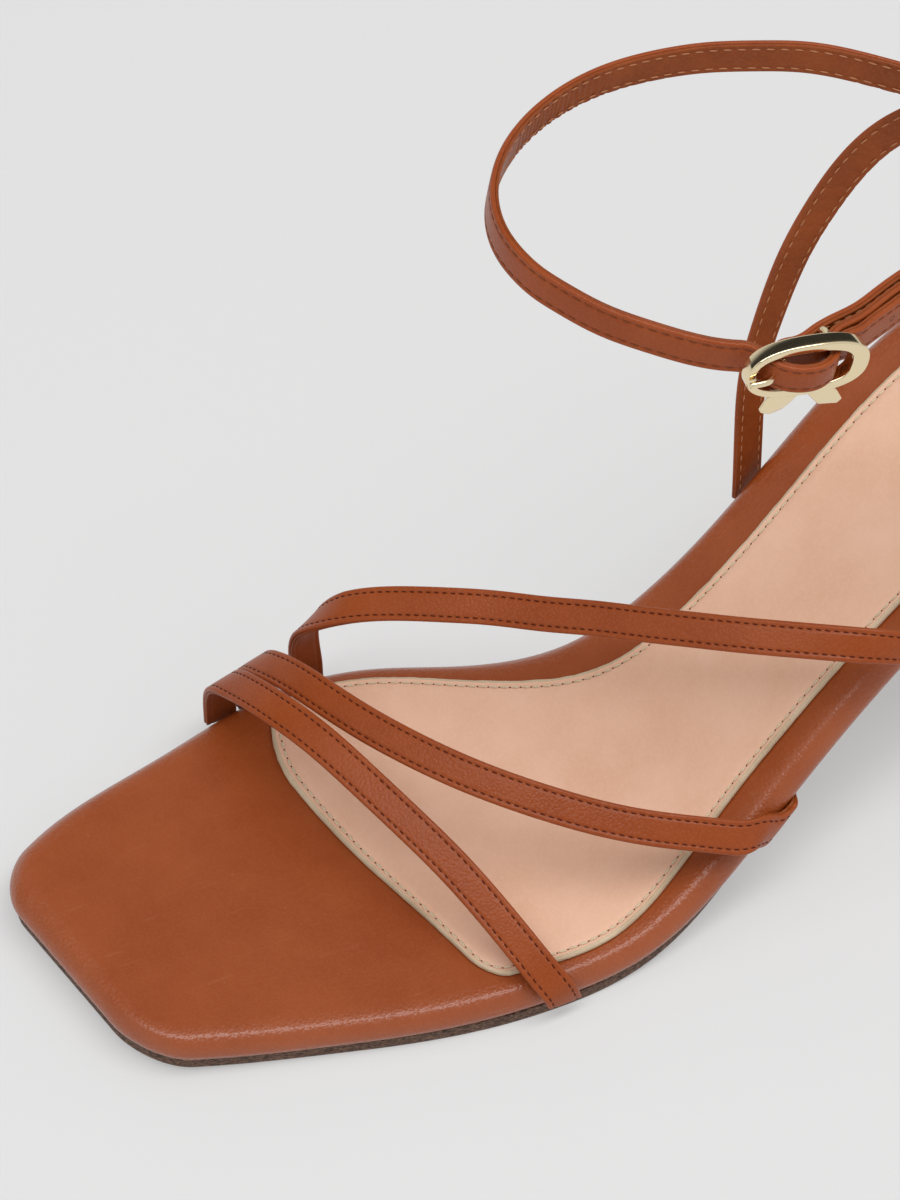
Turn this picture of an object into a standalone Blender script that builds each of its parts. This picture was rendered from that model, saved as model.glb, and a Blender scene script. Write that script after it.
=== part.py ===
"""Heeled strap sandal for the left foot.

Metres, +X towards the toe, +Y towards the outer side, +Z up, standing on z = 0.
Sizes are in millimetres. Shoe places are written as station, side and height: station is the
distance behind the toe tip, side is positive towards the outer side, height is above the floor.
"""
import math

import bmesh
import bpy
import numpy as np

for old in list(bpy.data.objects):
    bpy.data.objects.remove(old, do_unlink=True)

# Named sizes
MM = 0.001
TOE_X = 123.9              # toe tip ahead of the origin
MID_Y = -0.52              # shoe line beside the origin
GAP = 0.3                  # clearance between pieces that are glued or lasted together
FOOTBED_THICK = 5.0
OUTSOLE_THICK = 3.0
TREAD = FOOTBED_THICK + GAP + OUTSOLE_THICK   # rim height where the forefoot stands on the floor
SOCK_THICK = 1.0
TOE_CORNERS = (8.0, 9.5)   # radii of the square toe's inner and outer corner
TOE_SLANT = 0.1875         # setback of the toe's front line for each millimetre outwards
TOE_FADE = 62.0            # length over which the slant dies out
SEAT_START = 220.0         # station where the rounded heel end starts
SEAT_LENGTH = 27.05        # length of the rounded heel end
STRAP_WIDTH = 6.5
STRAP_THICK = 1.5
ANKLE_TILT = 10.0          # degrees, ankle strap higher in front
ANKLE_HEIGHT = 138.2       # height of the ankle strap at station 190

# The last: station, inner edge, outer edge, height of the footbed rim, depth of the cup
LAST = (
    (0, -25.1, 19.8, 10.6, 0.0),
    (12, -31.5, 24.0, 9.9, 0.0),
    (25, -35.9, 28.5, 8.9, 0.0),
    (40, -39.1, 33.3, 8.4, 0.0),
    (55, -42.3, 37.8, 8.3, 0.0),
    (70, -43.2, 40.9, 8.3, 0.0),
    (85, -39.8, 42.2, 8.3, 0.0),
    (100, -31.8, 41.7, 9.7, 0.2),
    (115, -23.8, 38.2, 15.8, 0.5),
    (130, -20.8, 33.9, 26.4, 0.9),
    (145, -21.4, 30.6, 38.6, 1.2),
    (160, -24.3, 28.1, 50.0, 1.5),
    (175, -27.5, 26.4, 59.9, 1.8),
    (190, -29.5, 26.1, 67.4, 2.0),
    (205, -29.9, 26.0, 72.6, 2.2),
    (220, -28.4, 25.0, 76.4, 2.2),
    (250, -26.6, 24.0, 81.8, 2.2),
)
# Outsole: station, tuck under the footbed edge
SOLE_TUCK = ((0, 1.2), (60, 0.7), (95, 0.7), (120, 3.0), (140, 5.5), (170, 7.5), (200, 8.0), (250, 8.0))
SOLE_END = 196.0           # station of the heel breast
# Sock: station, inner margin, outer margin
SOCK_EDGE = (
    (50, 4.4, 5.2),
    (77, 4.7, 4.8),
    (93, 6.0, 4.3),
    (105, 7.4, 5.7),
    (120, 10.1, 7.5),
    (135, 10.4, 7.5),
    (155, 10.2, 7.1),
    (180, 9.6, 6.6),
    (250, 8.6, 6.8),
)
# Front line of the sock: side, station
SOCK_FRONT = ((-38, 61.6), (-25, 57.8), (-14, 58.6), (-2, 60.9), (15, 65.6), (38, 71.6))
# Heel: share of height, breast station, back station, half width
HEEL = (
    (0.00, 214.0, 236.0, 10.5),
    (0.20, 214.0, 237.0, 11.3),
    (0.45, 213.0, 239.0, 13.6),
    (0.68, 210.5, 241.5, 17.2),
    (0.86, 205.5, 243.6, 21.3),
    (0.96, 200.5, 245.0, 23.6),
    (1.00, 198.5, 245.6, 24.2),
)
TOP_PIECE = 4.5            # height of the wearing tip
# Straps: station, side, lift above the footbed rim, facing forwards, outwards and upwards, and shear of
# the section along the strap
TOE_FRONT = (
    (54.0, -43.7, -4.2, 0.0, -1.0, 0.0, 0.0),
    (54.0, -43.8, 0.0, 0.0, -1.0, 0.05, 0.0),
    (53.8, -43.0, 5.2, 0.05, -0.95, 0.3, 0.0),
    (53.7, -40.3, 10.6, 0.2, -0.75, 0.6, 0.0),
    (54.4, -35.4, 14.6, 0.45, -0.4, 0.75, 0.0),
    (56.9, -23.8, 19.7, 0.35, 0.25, 0.85, 0.0),
    (60.2, -13.5, 20.9, 0.3, 0.5, 0.8, 0.0),
    (64.1, -2.0, 19.6, 0.28, 0.56, 0.78, 0.0),
    (68.0, 8.7, 17.2, 0.28, 0.56, 0.78, 0.0),
    (71.9, 19.1, 14.0, 0.28, 0.56, 0.78, 0.0),
    (75.3, 29.0, 9.8, 0.28, 0.56, 0.78, 0.0),
    (77.9, 36.7, 5.8, 0.27, 0.6, 0.75, 0.1),
    (79.8, 41.4, 2.6, 0.2, 0.78, 0.58, 0.3),
    (81.0, 43.2, 0.3, 0.1, 0.95, 0.3, 0.36),
    (82.2, 43.4, -3.4, 0.0, 1.0, 0.0, 0.36),
)
TOE_REAR = (
    (61.0, -44.5, -4.2, 0.0, -1.0, 0.0, 0.0),
    (61.0, -44.6, 0.0, 0.0, -1.0, 0.05, 0.0),
    (60.9, -43.9, 6.0, 0.05, -0.95, 0.3, 0.0),
    (60.6, -41.3, 11.4, 0.2, -0.75, 0.6, 0.0),
    (61.1, -37.6, 14.8, 0.4, -0.5, 0.75, 0.0),
    (62.5, -32.0, 17.9, 0.45, -0.15, 0.85, 0.0),
    (65.7, -20.8, 21.1, 0.38, 0.3, 0.85, 0.0),
    (69.6, -11.3, 22.0, 0.32, 0.46, 0.82, 0.0),
    (74.3, -2.6, 22.3, 0.28, 0.56, 0.78, 0.0),
    (79.5, 5.4, 22.3, 0.28, 0.56, 0.78, 0.0),
    (85.3, 12.6, 21.9, 0.28, 0.56, 0.78, 0.0),
    (91.7, 19.1, 20.8, 0.28, 0.56, 0.78, 0.0),
    (98.5, 25.1, 19.0, 0.28, 0.56, 0.78, 0.0),
    (105.9, 30.5, 16.0, 0.28, 0.56, 0.78, 0.1),
    (113.7, 34.6, 10.9, 0.28, 0.6, 0.75, 0.35),
    (118.3, 36.5, 6.9, 0.28, 0.66, 0.7, 0.6),
    (121.6, 37.5, 3.9, 0.27, 0.71, 0.65, 0.72),
    (123.9, 37.7, 1.8, 0.2, 0.79, 0.58, 0.73),
    (125.4, 37.5, 0.1, 0.06, 0.91, 0.42, 0.73),
    (126.8, 37.0, -1.9, -0.1, 0.97, 0.22, 0.73),
    (128.2, 36.5, -3.8, -0.28, 0.96, -0.01, 0.73),
    (129.5, 35.9, -5.3, -0.43, 0.87, -0.24, 0.73),
    (130.6, 35.1, -6.5, -0.55, 0.7, -0.46, 0.73),
    (131.5, 34.2, -7.3, -0.61, 0.49, -0.62, 0.73),
)
INSTEP = (
    (72.4, -44.2, -4.2, 0.0, -1.0, 0.0, 0.0),
    (72.4, -44.4, 0.0, 0.0, -1.0, 0.05, 0.0),
    (71.8, -43.9, 6.5, 0.1, -1.0, 0.1, 0.0),
    (71.7, -42.3, 14.6, 0.3, -0.9, 0.3, 0.0),
    (73.4, -39.1, 20.7, 0.6, -0.6, 0.5, 0.0),
    (76.5, -35.6, 25.2, 0.75, -0.25, 0.6, 0.0),
    (83.6, -29.4, 29.5, 0.55, 0.2, 0.78, 0.0),
    (90.7, -22.8, 32.4, 0.4, 0.42, 0.8, 0.0),
    (97.7, -16.5, 33.9, 0.32, 0.52, 0.79, 0.0),
    (104.3, -9.5, 34.7, 0.28, 0.56, 0.78, 0.0),
    (110.8, -2.4, 35.1, 0.28, 0.56, 0.78, 0.0),
    (117.2, 4.7, 34.2, 0.28, 0.56, 0.78, 0.0),
    (123.6, 11.5, 32.3, 0.28, 0.56, 0.78, 0.0),
    (130.2, 17.9, 29.2, 0.28, 0.56, 0.78, 0.0),
    (137.1, 23.7, 25.0, 0.26, 0.6, 0.76, 0.0),
    (144.3, 29.1, 20.0, 0.2, 0.68, 0.7, 0.0),
    (148.9, 31.6, 16.0, 0.15, 0.78, 0.6, 0.0),
    (153.8, 33.0, 10.6, 0.05, 0.92, 0.38, 0.0),
    (157.9, 33.2, 4.6, 0.0, 1.0, 0.12, 0.0),
    (161.4, 31.9, -3.6, 0.0, 1.0, -0.1, 0.0),
)
# Sling arms: station, side, height
SLING_INNER = (
    (154.4, -24.1, 38.4),
    (154.5, -24.3, 42.0),
    (154.6, -24.6, 47.0),
    (154.8, -25.2, 55.8),
    (156.1, -26.5, 71.1),
    (158.9, -27.2, 81.9),
    (164.2, -27.5, 97.9),
    (168.9, -27.0, 108.0),
    (173.8, -26.0, 116.6),
    (178.8, -24.3, 123.0),
    (184.4, -20.4, 129.0),
    (189.2, -14.6, 134.0),
    (193.8, -6.6, 137.4),
)
SLING_OUTER = (
    (166.0, 28.9, 50.4),
    (166.1, 29.3, 56.0),
    (166.4, 29.9, 64.0),
    (167.6, 31.0, 77.0),
    (170.0, 30.4, 90.0),
    (174.0, 28.8, 103.0),
    (179.0, 26.0, 115.0),
    (184.4, 21.6, 126.0),
    (189.2, 15.6, 133.4),
    (194.0, 7.4, 137.4),
)
SLING_AXIS = 160.0         # station of the upright line the sling arms face away from
# Buckle: place of its centre, turn about the upright, sizes along and across the strap
BUCKLE_STATION = 127.85
BUCKLE_SIDE = 36.6
BUCKLE_TURN = 7.0          # degrees, rear end outwards
BUCKLE_LONG = 21.7
BUCKLE_TALL = 11.7
BUCKLE_BAND = 1.8          # width of the frame's face above and below
BUCKLE_ENDS = (1.5, 3.0)   # width of the frame's face at its front and rear end
BUCKLE_RISE = 0.5          # frame's middle above the strap's
BUCKLE_DEEP = 2.8          # thickness of the frame
BAR_DROP = 4.4             # bar inside the frame's middle plane
BAR_BACK = 4.0             # bar behind the frame's middle
BAR_REACH = 4.0            # bar's posts above and below the frame's middle
BAR_RADIUS = 0.6
# Layer folded back inside the strap, from its cut end: station, side
FOLD_BACK = (
    (158.0, 22.5),
    (150.7, 25.0),
    (146.1, 26.9),
    (141.5, 28.8),
)
# Fold round the bar: place along the strap behind the buckle's centre, place outwards, rise
FOLD = (
    (8.6, -7.7, 0.2),
    (5.5, -6.35, 0.5),
    (4.0, -5.95, 0.5),
    (2.9, -5.5, 0.5),
    (2.45, -4.4, 0.5),
    (2.9, -3.3, 0.5),
    (4.0, -2.85, 0.5),
    (6.2, -4.6, 0.5),
    (7.9, -5.4, 0.3),
    (10.2, -6.15, 0.1),
)
# Ankle strap from behind the buckle round the heel to the inner side and the front: station, side
ANKLE_LOOP = (
    (146.1, 28.85),
    (150.7, 26.95),
    (159.0, 24.3),
    (167.0, 22.4),
    (176.0, 19.4),
    (186.0, 14.2),
    (193.6, 6.0),
    (194.6, -3.2),
    (189.0, -12.2),
    (178.4, -21.7),
    (165.3, -31.1),
    (157.0, -34.0),
    (148.3, -36.2),
    (139.0, -37.1),
    (129.3, -36.6),
    (119.2, -34.0),
    (109.1, -28.9),
    (99.9, -20.9),
    (93.9, -10.3),
    (92.9, -4.7),
    (93.2, 0.4),
    (94.4, 5.1),
    (96.3, 9.1),
    (100.8, 16.4),
    (106.5, 22.4),
    (112.7, 27.7),
)
# Strap through the buckle: place along the strap, place outwards, rise
PASS = (
    (-11.2, -4.8, 0.1),
    (-9.2, -3.9, 0.3),
    (-7.7, -2.3, 0.5),
    (-6.6, -0.4, 0.5),
    (-5.0, 1.5, 0.5),
    (-1.8, 2.9, 0.5),
    (1.6, 2.7, 0.5),
    (3.6, 1.6, 0.5),
    (5.0, 0.0, 0.5),
    (6.1, -2.1, 0.5),
    (8.2, -3.4, 0.3),
    (10.6, -4.1, 0.1),
)
# Tail behind the buckle: station, side
TAIL = (
    (141.5, 32.7),
    (146.1, 30.8),
    (150.7, 28.9),
    (159.0, 26.2),
    (167.0, 24.3),
)


def curve(table, column):
    """Natural cubic through one column of a table, against its first column."""
    x = np.array([row[0] for row in table], float)
    y = np.array([row[column] for row in table], float)
    return natural(x, y)


def natural(x, y):
    """Natural cubic spline through the points x, y."""
    n = len(x)
    h = np.diff(x)
    a = np.zeros((n, n))
    b = np.zeros(n)
    a[0, 0] = 1.0
    a[-1, -1] = 1.0
    for i in range(1, n - 1):
        a[i, i - 1] = h[i - 1]
        a[i, i] = 2.0 * (h[i - 1] + h[i])
        a[i, i + 1] = h[i]
        b[i] = 6.0 * ((y[i + 1] - y[i]) / h[i] - (y[i] - y[i - 1]) / h[i - 1])
    m = np.linalg.solve(a, b)

    def at(q):
        q = np.asarray(q, float)
        i = np.clip(np.searchsorted(x, q) - 1, 0, n - 2)
        u = x[i + 1] - q
        v = q - x[i]
        lean = m[i] * u ** 3 / (6 * h[i]) + m[i + 1] * v ** 3 / (6 * h[i])
        return lean + (y[i] / h[i] - m[i] * h[i] / 6) * u + (y[i + 1] / h[i] - m[i + 1] * h[i] / 6) * v

    return at


inner_edge = curve(LAST, 1)
outer_edge = curve(LAST, 2)
rim_curve = curve(LAST, 3)
cup_depth = curve(LAST, 4)
sole_tuck = curve(SOLE_TUCK, 1)
sock_inner = curve(SOCK_EDGE, 1)
sock_outer = curve(SOCK_EDGE, 2)
sock_front = curve(SOCK_FRONT, 1)


def rim_height(s):
    """Height of the footbed rim, never lower than the tread."""
    return np.maximum(rim_curve(s), TREAD)


def slope(s):
    """Angle of the footbed's long profile at a station."""
    return np.arctan((rim_height(s + 0.5) - rim_height(s - 0.5)) / 1.0)


def bed_top(s, y):
    """Height of the footbed's top face, cupped between its edges."""
    lo = inner_edge(s)
    hi = outer_edge(s)
    t = np.clip((2 * y - lo - hi) / (hi - lo), -1, 1)
    return rim_height(s) - cup_depth(s) * (1 - t ** 2)


def plan(inset, rows, across, inner, outer, front, fade, corner, end):
    """Grid of stations and sides inside an outline, held in by an inset.

    inner and outer give the edges by station, front the station of the front line by side, and corner the
    radii of its inner and outer corner. The front line's slant dies out over the length fade.
    end is None for the rounded heel end, or the station where the piece is cut straight.
    """
    t = np.linspace(0, 1, across)
    radii = [max(c - inset, 0.8) for c in corner]
    base = float(front(0.0))
    turn = np.linspace(0, math.pi / 2, rows[0])
    stop = SEAT_START if end is None else end - inset
    runs = list(inset + max(radii) * (1 - np.cos(turn)))
    runs += list(np.linspace(runs[-1], stop - base, rows[1] + 1)[1:])
    out = []
    for r in runs:
        still = max(0.0, 1 - r / fade) ** 2
        ends = []
        for edge, way, radius in ((inner, 1, radii[0]), (outer, -1, radii[1])):
            left = max(radius - (r - inset), 0.0)
            draw = radius - math.sqrt(radius ** 2 - left ** 2)
            y = float(edge(base + r))
            for again in range(4):
                s = base + r + (float(front(y)) - base) * still
                wide = math.hypot(1.0, float(edge(s + 0.5) - edge(s - 0.5)))
                y = float(edge(s)) + way * (inset + draw) * wide
            ends.append(y)
        y = ends[0] + (ends[1] - ends[0]) * t
        out.append(np.stack([base + r + (front(y) - base) * still, y], -1))
    if end is None:
        lo = inner(SEAT_START) + inset
        hi = outer(SEAT_START) - inset
        back = SEAT_LENGTH - inset - (inner(SEAT_START) - inner_edge(SEAT_START))
        for a in np.linspace(0, 1.38, rows[2] + 1)[1:]:
            half = (hi - lo) / 2 * math.cos(a)
            s = np.full(across, SEAT_START + back * math.sin(a))
            out.append(np.stack([s, (lo + hi) / 2 + half * (2 * t - 1)], -1))
    return np.array(out)


def lower(points, depth, lift=0.0):
    """Footbed-top places moved square to the long profile: down by depth, up by lift."""
    s = points[..., 0]
    y = points[..., 1]
    a = slope(s)
    drop = depth - lift
    return np.stack([s + drop * np.sin(a), y, bed_top(s, y) - drop * np.cos(a)], -1)


def rim_loop(n, m):
    """Row and column of each place round the edge of an n by m grid."""
    loop = [(0, j) for j in range(m)]
    loop += [(i, m - 1) for i in range(1, n)]
    loop += [(n - 1, j) for j in range(m - 2, -1, -1)]
    loop += [(i, 0) for i in range(n - 2, 0, -1)]
    return loop


def slab(name, material, edge, grid):
    """Closed sheet: grid(inset, depth) gives places for each (inset, depth) row of the edge profile."""
    layers = [grid(inset, depth) for inset, depth in edge]
    n, m = layers[0].shape[:2]
    loop = rim_loop(n, m)
    verts = [p for p in layers[0].reshape(-1, 3)]
    rings = [[i * m + j for i, j in loop]]
    for layer in layers[1:-1]:
        rings.append([len(verts) + k for k in range(len(loop))])
        verts += [layer[i, j] for i, j in loop]
    start = len(verts)
    verts += [p for p in layers[-1].reshape(-1, 3)]
    rings.append([start + i * m + j for i, j in loop])
    faces = []
    for i in range(n - 1):
        for j in range(m - 1):
            a = i * m + j
            faces.append((a, a + m, a + m + 1, a + 1))
            b = start + a
            faces.append((b, b + 1, b + m + 1, b + m))
    for top, low in zip(rings[:-1], rings[1:]):
        for k in range(len(loop)):
            q = (k + 1) % len(loop)
            faces.append((top[k], top[q], low[q], low[k]))
    return solid(name, material, verts, faces)


def paint(name, rgb, rough, metal=0.0):
    """Plain material."""
    mat = bpy.data.materials.new(name)
    mat.use_nodes = True
    shader = mat.node_tree.nodes["Principled BSDF"]
    shader.inputs["Base Color"].default_value = (*rgb, 1.0)
    shader.inputs["Roughness"].default_value = rough
    shader.inputs["Metallic"].default_value = metal
    return mat


def solid(name, material, verts, faces):
    """One closed mesh object from shoe places."""
    mesh = bpy.data.meshes.new(name)
    world = [((TOE_X - s) * MM, (y - MID_Y) * MM, z * MM) for s, y, z in verts]
    mesh.from_pydata(world, [], [tuple(int(k) for k in f) for f in faces])
    obj = bpy.data.objects.new(name, mesh)
    bpy.context.scene.collection.objects.link(obj)
    tidy(obj)
    mesh.materials.append(material)
    return obj


def tidy(obj):
    """Triangles that point outwards, with doubled places merged."""
    work = bmesh.new()
    work.from_mesh(obj.data)
    bmesh.ops.remove_doubles(work, verts=work.verts, dist=1e-6)
    bmesh.ops.triangulate(work, faces=work.faces)
    bmesh.ops.recalc_face_normals(work, faces=work.faces)
    if work.calc_volume(signed=True) < 0:
        bmesh.ops.reverse_faces(work, faces=work.faces)
    work.to_mesh(obj.data)
    work.free()
    obj.data.update()


def combine(obj, other, how):
    """Boolean of two solids. The second one is used up."""
    mod = obj.modifiers.new(how.lower(), "BOOLEAN")
    mod.operation = how
    mod.solver = "EXACT"
    mod.object = other
    bpy.context.view_layer.update()
    graph = bpy.context.evaluated_depsgraph_get()
    done = bpy.data.meshes.new_from_object(obj.evaluated_get(graph))
    obj.modifiers.clear()
    old_mesh = obj.data
    obj.data = done
    done.name = obj.name
    bpy.data.meshes.remove(old_mesh)
    bpy.data.objects.remove(other, do_unlink=True)
    tidy(obj)
    return obj


def along(route, count, even=True):
    """Places, directions and further columns on a smooth line through the rows, spaced evenly or by row."""
    pts = np.array(route, float)
    step = np.linalg.norm(np.diff(pts[:, :3], axis=0), axis=1)
    key = np.concatenate([[0], np.cumsum(step)])
    lines = [natural(key, pts[:, k]) for k in range(3)]
    fine = np.linspace(0, key[-1], 40 * count)
    dense = np.stack([f(fine) for f in lines], -1)
    run = np.concatenate([[0], np.cumsum(np.linalg.norm(np.diff(dense, axis=0), axis=1))])
    pick = np.interp(np.linspace(0, run[-1], count), run, fine)
    if not even:
        pick = np.interp(np.linspace(0, len(key) - 1, count), np.arange(len(key)), key)
    p = np.stack([f(pick) for f in lines], -1)
    d = np.stack([f(pick + 0.02) - f(pick - 0.02) for f in lines], -1)
    more = np.array([np.interp(pick, key, column) for column in pts[:, 3:].T]).T
    return p, d / np.linalg.norm(d, axis=1)[:, None], more


def band(name, material, route, facing, count, thick=STRAP_THICK, even=True, squeeze=None):
    """Strap with a chamfered section along a route. Its outer face is turned to facing(place), or without
    that to the facing columns of the rows, whose last column shears the section along the strap.
    squeeze(place) gives a share of the full width."""
    p, d, more = along(route, count, even)
    shear = np.zeros((count, 1))
    if facing is None:
        out = more[:, :3] * (-1, 1, 1)
        shear = more[:, 3:]
    else:
        out = np.array([facing(q) for q in p])
    out -= (out * d).sum(1)[:, None] * d
    out /= np.linalg.norm(out, axis=1)[:, None]
    side = np.cross(d, out) + d * shear
    if squeeze is not None:
        side *= np.array([squeeze(q) for q in p])[:, None]
    w = STRAP_WIDTH / 2
    t = thick / 2
    c = 0.45
    section = ((w - c, t), (w, t - c), (w, c - t), (w - c, -t))
    section += ((c - w, -t), (-w, c - t), (-w, t - c), (c - w, t))
    verts = []
    faces = []
    k = len(section)
    for i in range(count):
        for u, v in section:
            verts.append(p[i] + side[i] * u + out[i] * v)
    for i in range(count - 1):
        for j in range(k):
            a = i * k + j
            b = i * k + (j + 1) % k
            faces.append((a, b, b + k, a + k))
    faces.append(tuple(range(k - 1, -1, -1)))
    faces.append(tuple(range((count - 1) * k, count * k)))
    return solid(name, material, verts, faces)


def lifted(route):
    """Strap rows with the lift turned into a height."""
    return [(s, y, float(rim_height(s)) + up, *rest) for s, y, up, *rest in route]


def off_ankle(q):
    """Facing of a sling arm: away from an upright line inside the ankle."""
    return np.array([q[0] - SLING_AXIS, q[1], 0.0])


TILT = math.radians(ANKLE_TILT)
PLANE_UP = np.array([math.sin(TILT), 0.0, math.cos(TILT)])


def on_plane(s, y, rise=0.0):
    """Place on the tilted plane of the ankle strap, with a rise across the strap."""
    z = ANKLE_HEIGHT + math.tan(TILT) * (190.0 - s)
    return np.array([s, y, z]) + PLANE_UP * rise


def at_buckle(u, v, rise=0.0):
    """Place near the buckle: u along the strap to the rear, v outwards, rise across the strap."""
    turn = math.radians(BUCKLE_TURN)
    s = BUCKLE_STATION + u * math.cos(turn) - v * math.sin(turn)
    y = BUCKLE_SIDE + u * math.sin(turn) + v * math.cos(turn)
    return on_plane(s, y, rise)


def ring(name, material, outer, inner, deep, count):
    """Oval frame in the buckle's plane. Rows of its outer and inner line: middle along the strap, half
    sizes along and across it, and the oval's power."""
    section = ((0.0, -0.5), (0.0, 0.2), (0.25, 0.5), (0.75, 0.5), (1.0, 0.2), (1.0, -0.5))
    k = len(section)
    verts = []
    faces = []
    for i in range(count):
        a = 2 * math.pi * i / count
        pair = []
        for middle, half_run, half_rise, power in (outer, inner):
            ca = math.copysign(abs(math.cos(a)) ** power, math.cos(a))
            sa = math.copysign(abs(math.sin(a)) ** power, math.sin(a))
            pair.append(np.array([middle + half_run * ca, half_rise * sa]))
        for u, v in section:
            run, rise = pair[0] + (pair[1] - pair[0]) * u
            verts.append(at_buckle(run, v * deep, rise + BUCKLE_RISE))
    for i in range(count):
        for j in range(k):
            a = i * k + j
            b = i * k + (j + 1) % k
            q = ((i + 1) % count) * k
            faces.append((a, b, q + (j + 1) % k, q + j))
    return solid(name, material, verts, faces)


def rod(name, material, route, radius, count, sides=10):
    """Round rod along a route, radius given for each row."""
    p, d, more = along(route, count)
    radii = np.interp(np.linspace(0, 1, count), np.linspace(0, 1, len(radius)), radius)
    verts = []
    faces = []
    for i in range(count):
        side = np.cross(d[i], PLANE_UP if abs(d[i] @ PLANE_UP) < 0.8 else np.array([1.0, 0.0, 0.0]))
        side /= np.linalg.norm(side)
        over = np.cross(d[i], side)
        for j in range(sides):
            a = 2 * math.pi * j / sides
            verts.append(p[i] + radii[i] * (side * math.cos(a) + over * math.sin(a)))
    for i in range(count - 1):
        for j in range(sides):
            a = i * sides + j
            b = i * sides + (j + 1) % sides
            faces.append((a, b, b + sides, a + sides))
    faces.append(tuple(range(sides - 1, -1, -1)))
    faces.append(tuple(range((count - 1) * sides, count * sides)))
    return solid(name, material, verts, faces)


tan_leather = paint("tan_leather", (0.34, 0.088, 0.036), 0.45)
nude_leather = paint("nude_leather", (0.70, 0.43, 0.30), 0.5)
sole_leather = paint("sole_leather", (0.070, 0.034, 0.022), 0.7)
tip_rubber = paint("tip_rubber", (0.030, 0.020, 0.016), 0.6)
pale_gold = paint("pale_gold", (0.85, 0.70, 0.42), 0.18, 1.0)


def toe_line(y):
    """Slanted toe: station of the front line by side."""
    return 0.7 + TOE_SLANT * (np.asarray(y, float) + 17.8)


def bed_grid(inset, depth):
    rows = (6, 24, 7)
    grid = plan(inset, rows, 9, inner_edge, outer_edge, toe_line, TOE_FADE, TOE_CORNERS, None)
    return lower(grid, depth)


FOOTBED_EDGE = ((2.6, 0.0), (1.2, 0.3), (0.35, 1.1), (0.0, 2.5), (0.25, 4.3), (1.0, FOOTBED_THICK))
slab("footbed", tan_leather, FOOTBED_EDGE, bed_grid)


def sole_inner(s):
    return inner_edge(s) + sole_tuck(s)


def sole_outer(s):
    return outer_edge(s) - sole_tuck(s)


def sole_line(y):
    return toe_line(y) + 1.5


def sole_grid(inset, depth):
    corners = [c - 0.5 for c in TOE_CORNERS]
    grid = plan(inset, (6, 22, 0), 7, sole_inner, sole_outer, sole_line, TOE_FADE, corners, SOLE_END)
    return lower(grid, FOOTBED_THICK + GAP + depth)


SOLE_EDGE = ((0.0, 0.0), (0.0, OUTSOLE_THICK - 0.5), (0.5, OUTSOLE_THICK))
slab("outsole", sole_leather, SOLE_EDGE, sole_grid)


def lining_inner(s):
    return inner_edge(s) + sock_inner(s)


def lining_outer(s):
    return outer_edge(s) - sock_outer(s)


def sock_grid(inset, depth):
    grid = plan(inset, (5, 22, 6), 7, lining_inner, lining_outer, sock_front, 50.0, (6.0, 6.0), None)
    return lower(grid, depth, GAP + SOCK_THICK)


SOCK_PROFILE = ((0.4, 0.0), (0.0, 0.4), (0.0, SOCK_THICK))
slab("sock", nude_leather, SOCK_PROFILE, sock_grid)


def seat_under(s, y):
    """Height of the footbed's underside at the heel, less the gap."""
    drop = FOOTBED_THICK + GAP
    s = s - drop * np.sin(slope(s))
    return float(bed_top(s, y) - drop * np.cos(slope(s)))


def heel_ring(share, count=28):
    """Rounded outline of the heel at a share of its height."""
    front = float(heel_front(share))
    back = float(heel_back(share))
    half = float(heel_half(share))
    out = []
    for k in range(count):
        a = 2 * math.pi * k / count
        ca = math.copysign(abs(math.cos(a)) ** 0.8, math.cos(a))
        sa = math.copysign(abs(math.sin(a)) ** 0.8, math.sin(a))
        out.append(((front + back) / 2 - ca * (back - front) / 2, half * sa - 0.6))
    return out


def stack(name, material, rings):
    """Closed solid through rings of equal count, capped at both ends."""
    k = len(rings[0])
    verts = [p for r in rings for p in r]
    faces = []
    for i in range(len(rings) - 1):
        for j in range(k):
            a = i * k + j
            b = i * k + (j + 1) % k
            faces.append((a, b, b + k, a + k))
    faces.append(tuple(range(k - 1, -1, -1)))
    faces.append(tuple(range((len(rings) - 1) * k, len(rings) * k)))
    return solid(name, material, verts, faces)


heel_front = curve(HEEL, 1)
heel_back = curve(HEEL, 2)
heel_half = curve(HEEL, 3)
heel_rings = []
for share in (0.0, 0.15, 0.3, 0.45, 0.58, 0.7, 0.8, 0.88, 0.95, 1.0):
    low = TOP_PIECE + GAP
    heel_rings.append([(s, y, low + share * (seat_under(s, y) - low)) for s, y in heel_ring(share)])
seat = np.array(heel_ring(1.0))
for scale in (0.75, 0.5, 0.25, 0.05):
    inside = seat.mean(0) + (seat - seat.mean(0)) * scale
    heel_rings.append([(s, y, seat_under(s, y)) for s, y in inside])
stack("heel", tan_leather, heel_rings)
tip = heel_ring(0.0)
stack("heel_top_piece", tip_rubber, [[(s, y, 0.0) for s, y in tip], [(s, y, TOP_PIECE) for s, y in tip]])

band("toe_strap_front", tan_leather, lifted(TOE_FRONT), None, 36)
band("toe_strap_rear", tan_leather, lifted(TOE_REAR), None, 44)
band("instep_strap", tan_leather, lifted(INSTEP), None, 42)


def off_loop(route, count):
    """Facing of the ankle strap: square to its own run, in the tilted plane."""
    p, d, more = along(route, count)
    faces_out = np.cross(PLANE_UP, d)

    def facing(q):
        return faces_out[np.argmin(((p - q) ** 2).sum(1))]
    return facing


ankle_route = [on_plane(s, y) for s, y in FOLD_BACK] + [at_buckle(*row) for row in FOLD]
ankle_route += [on_plane(s, y) for s, y in ANKLE_LOOP]
ankle_route += [at_buckle(*row) for row in PASS] + [on_plane(s, y) for s, y in TAIL]


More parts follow.
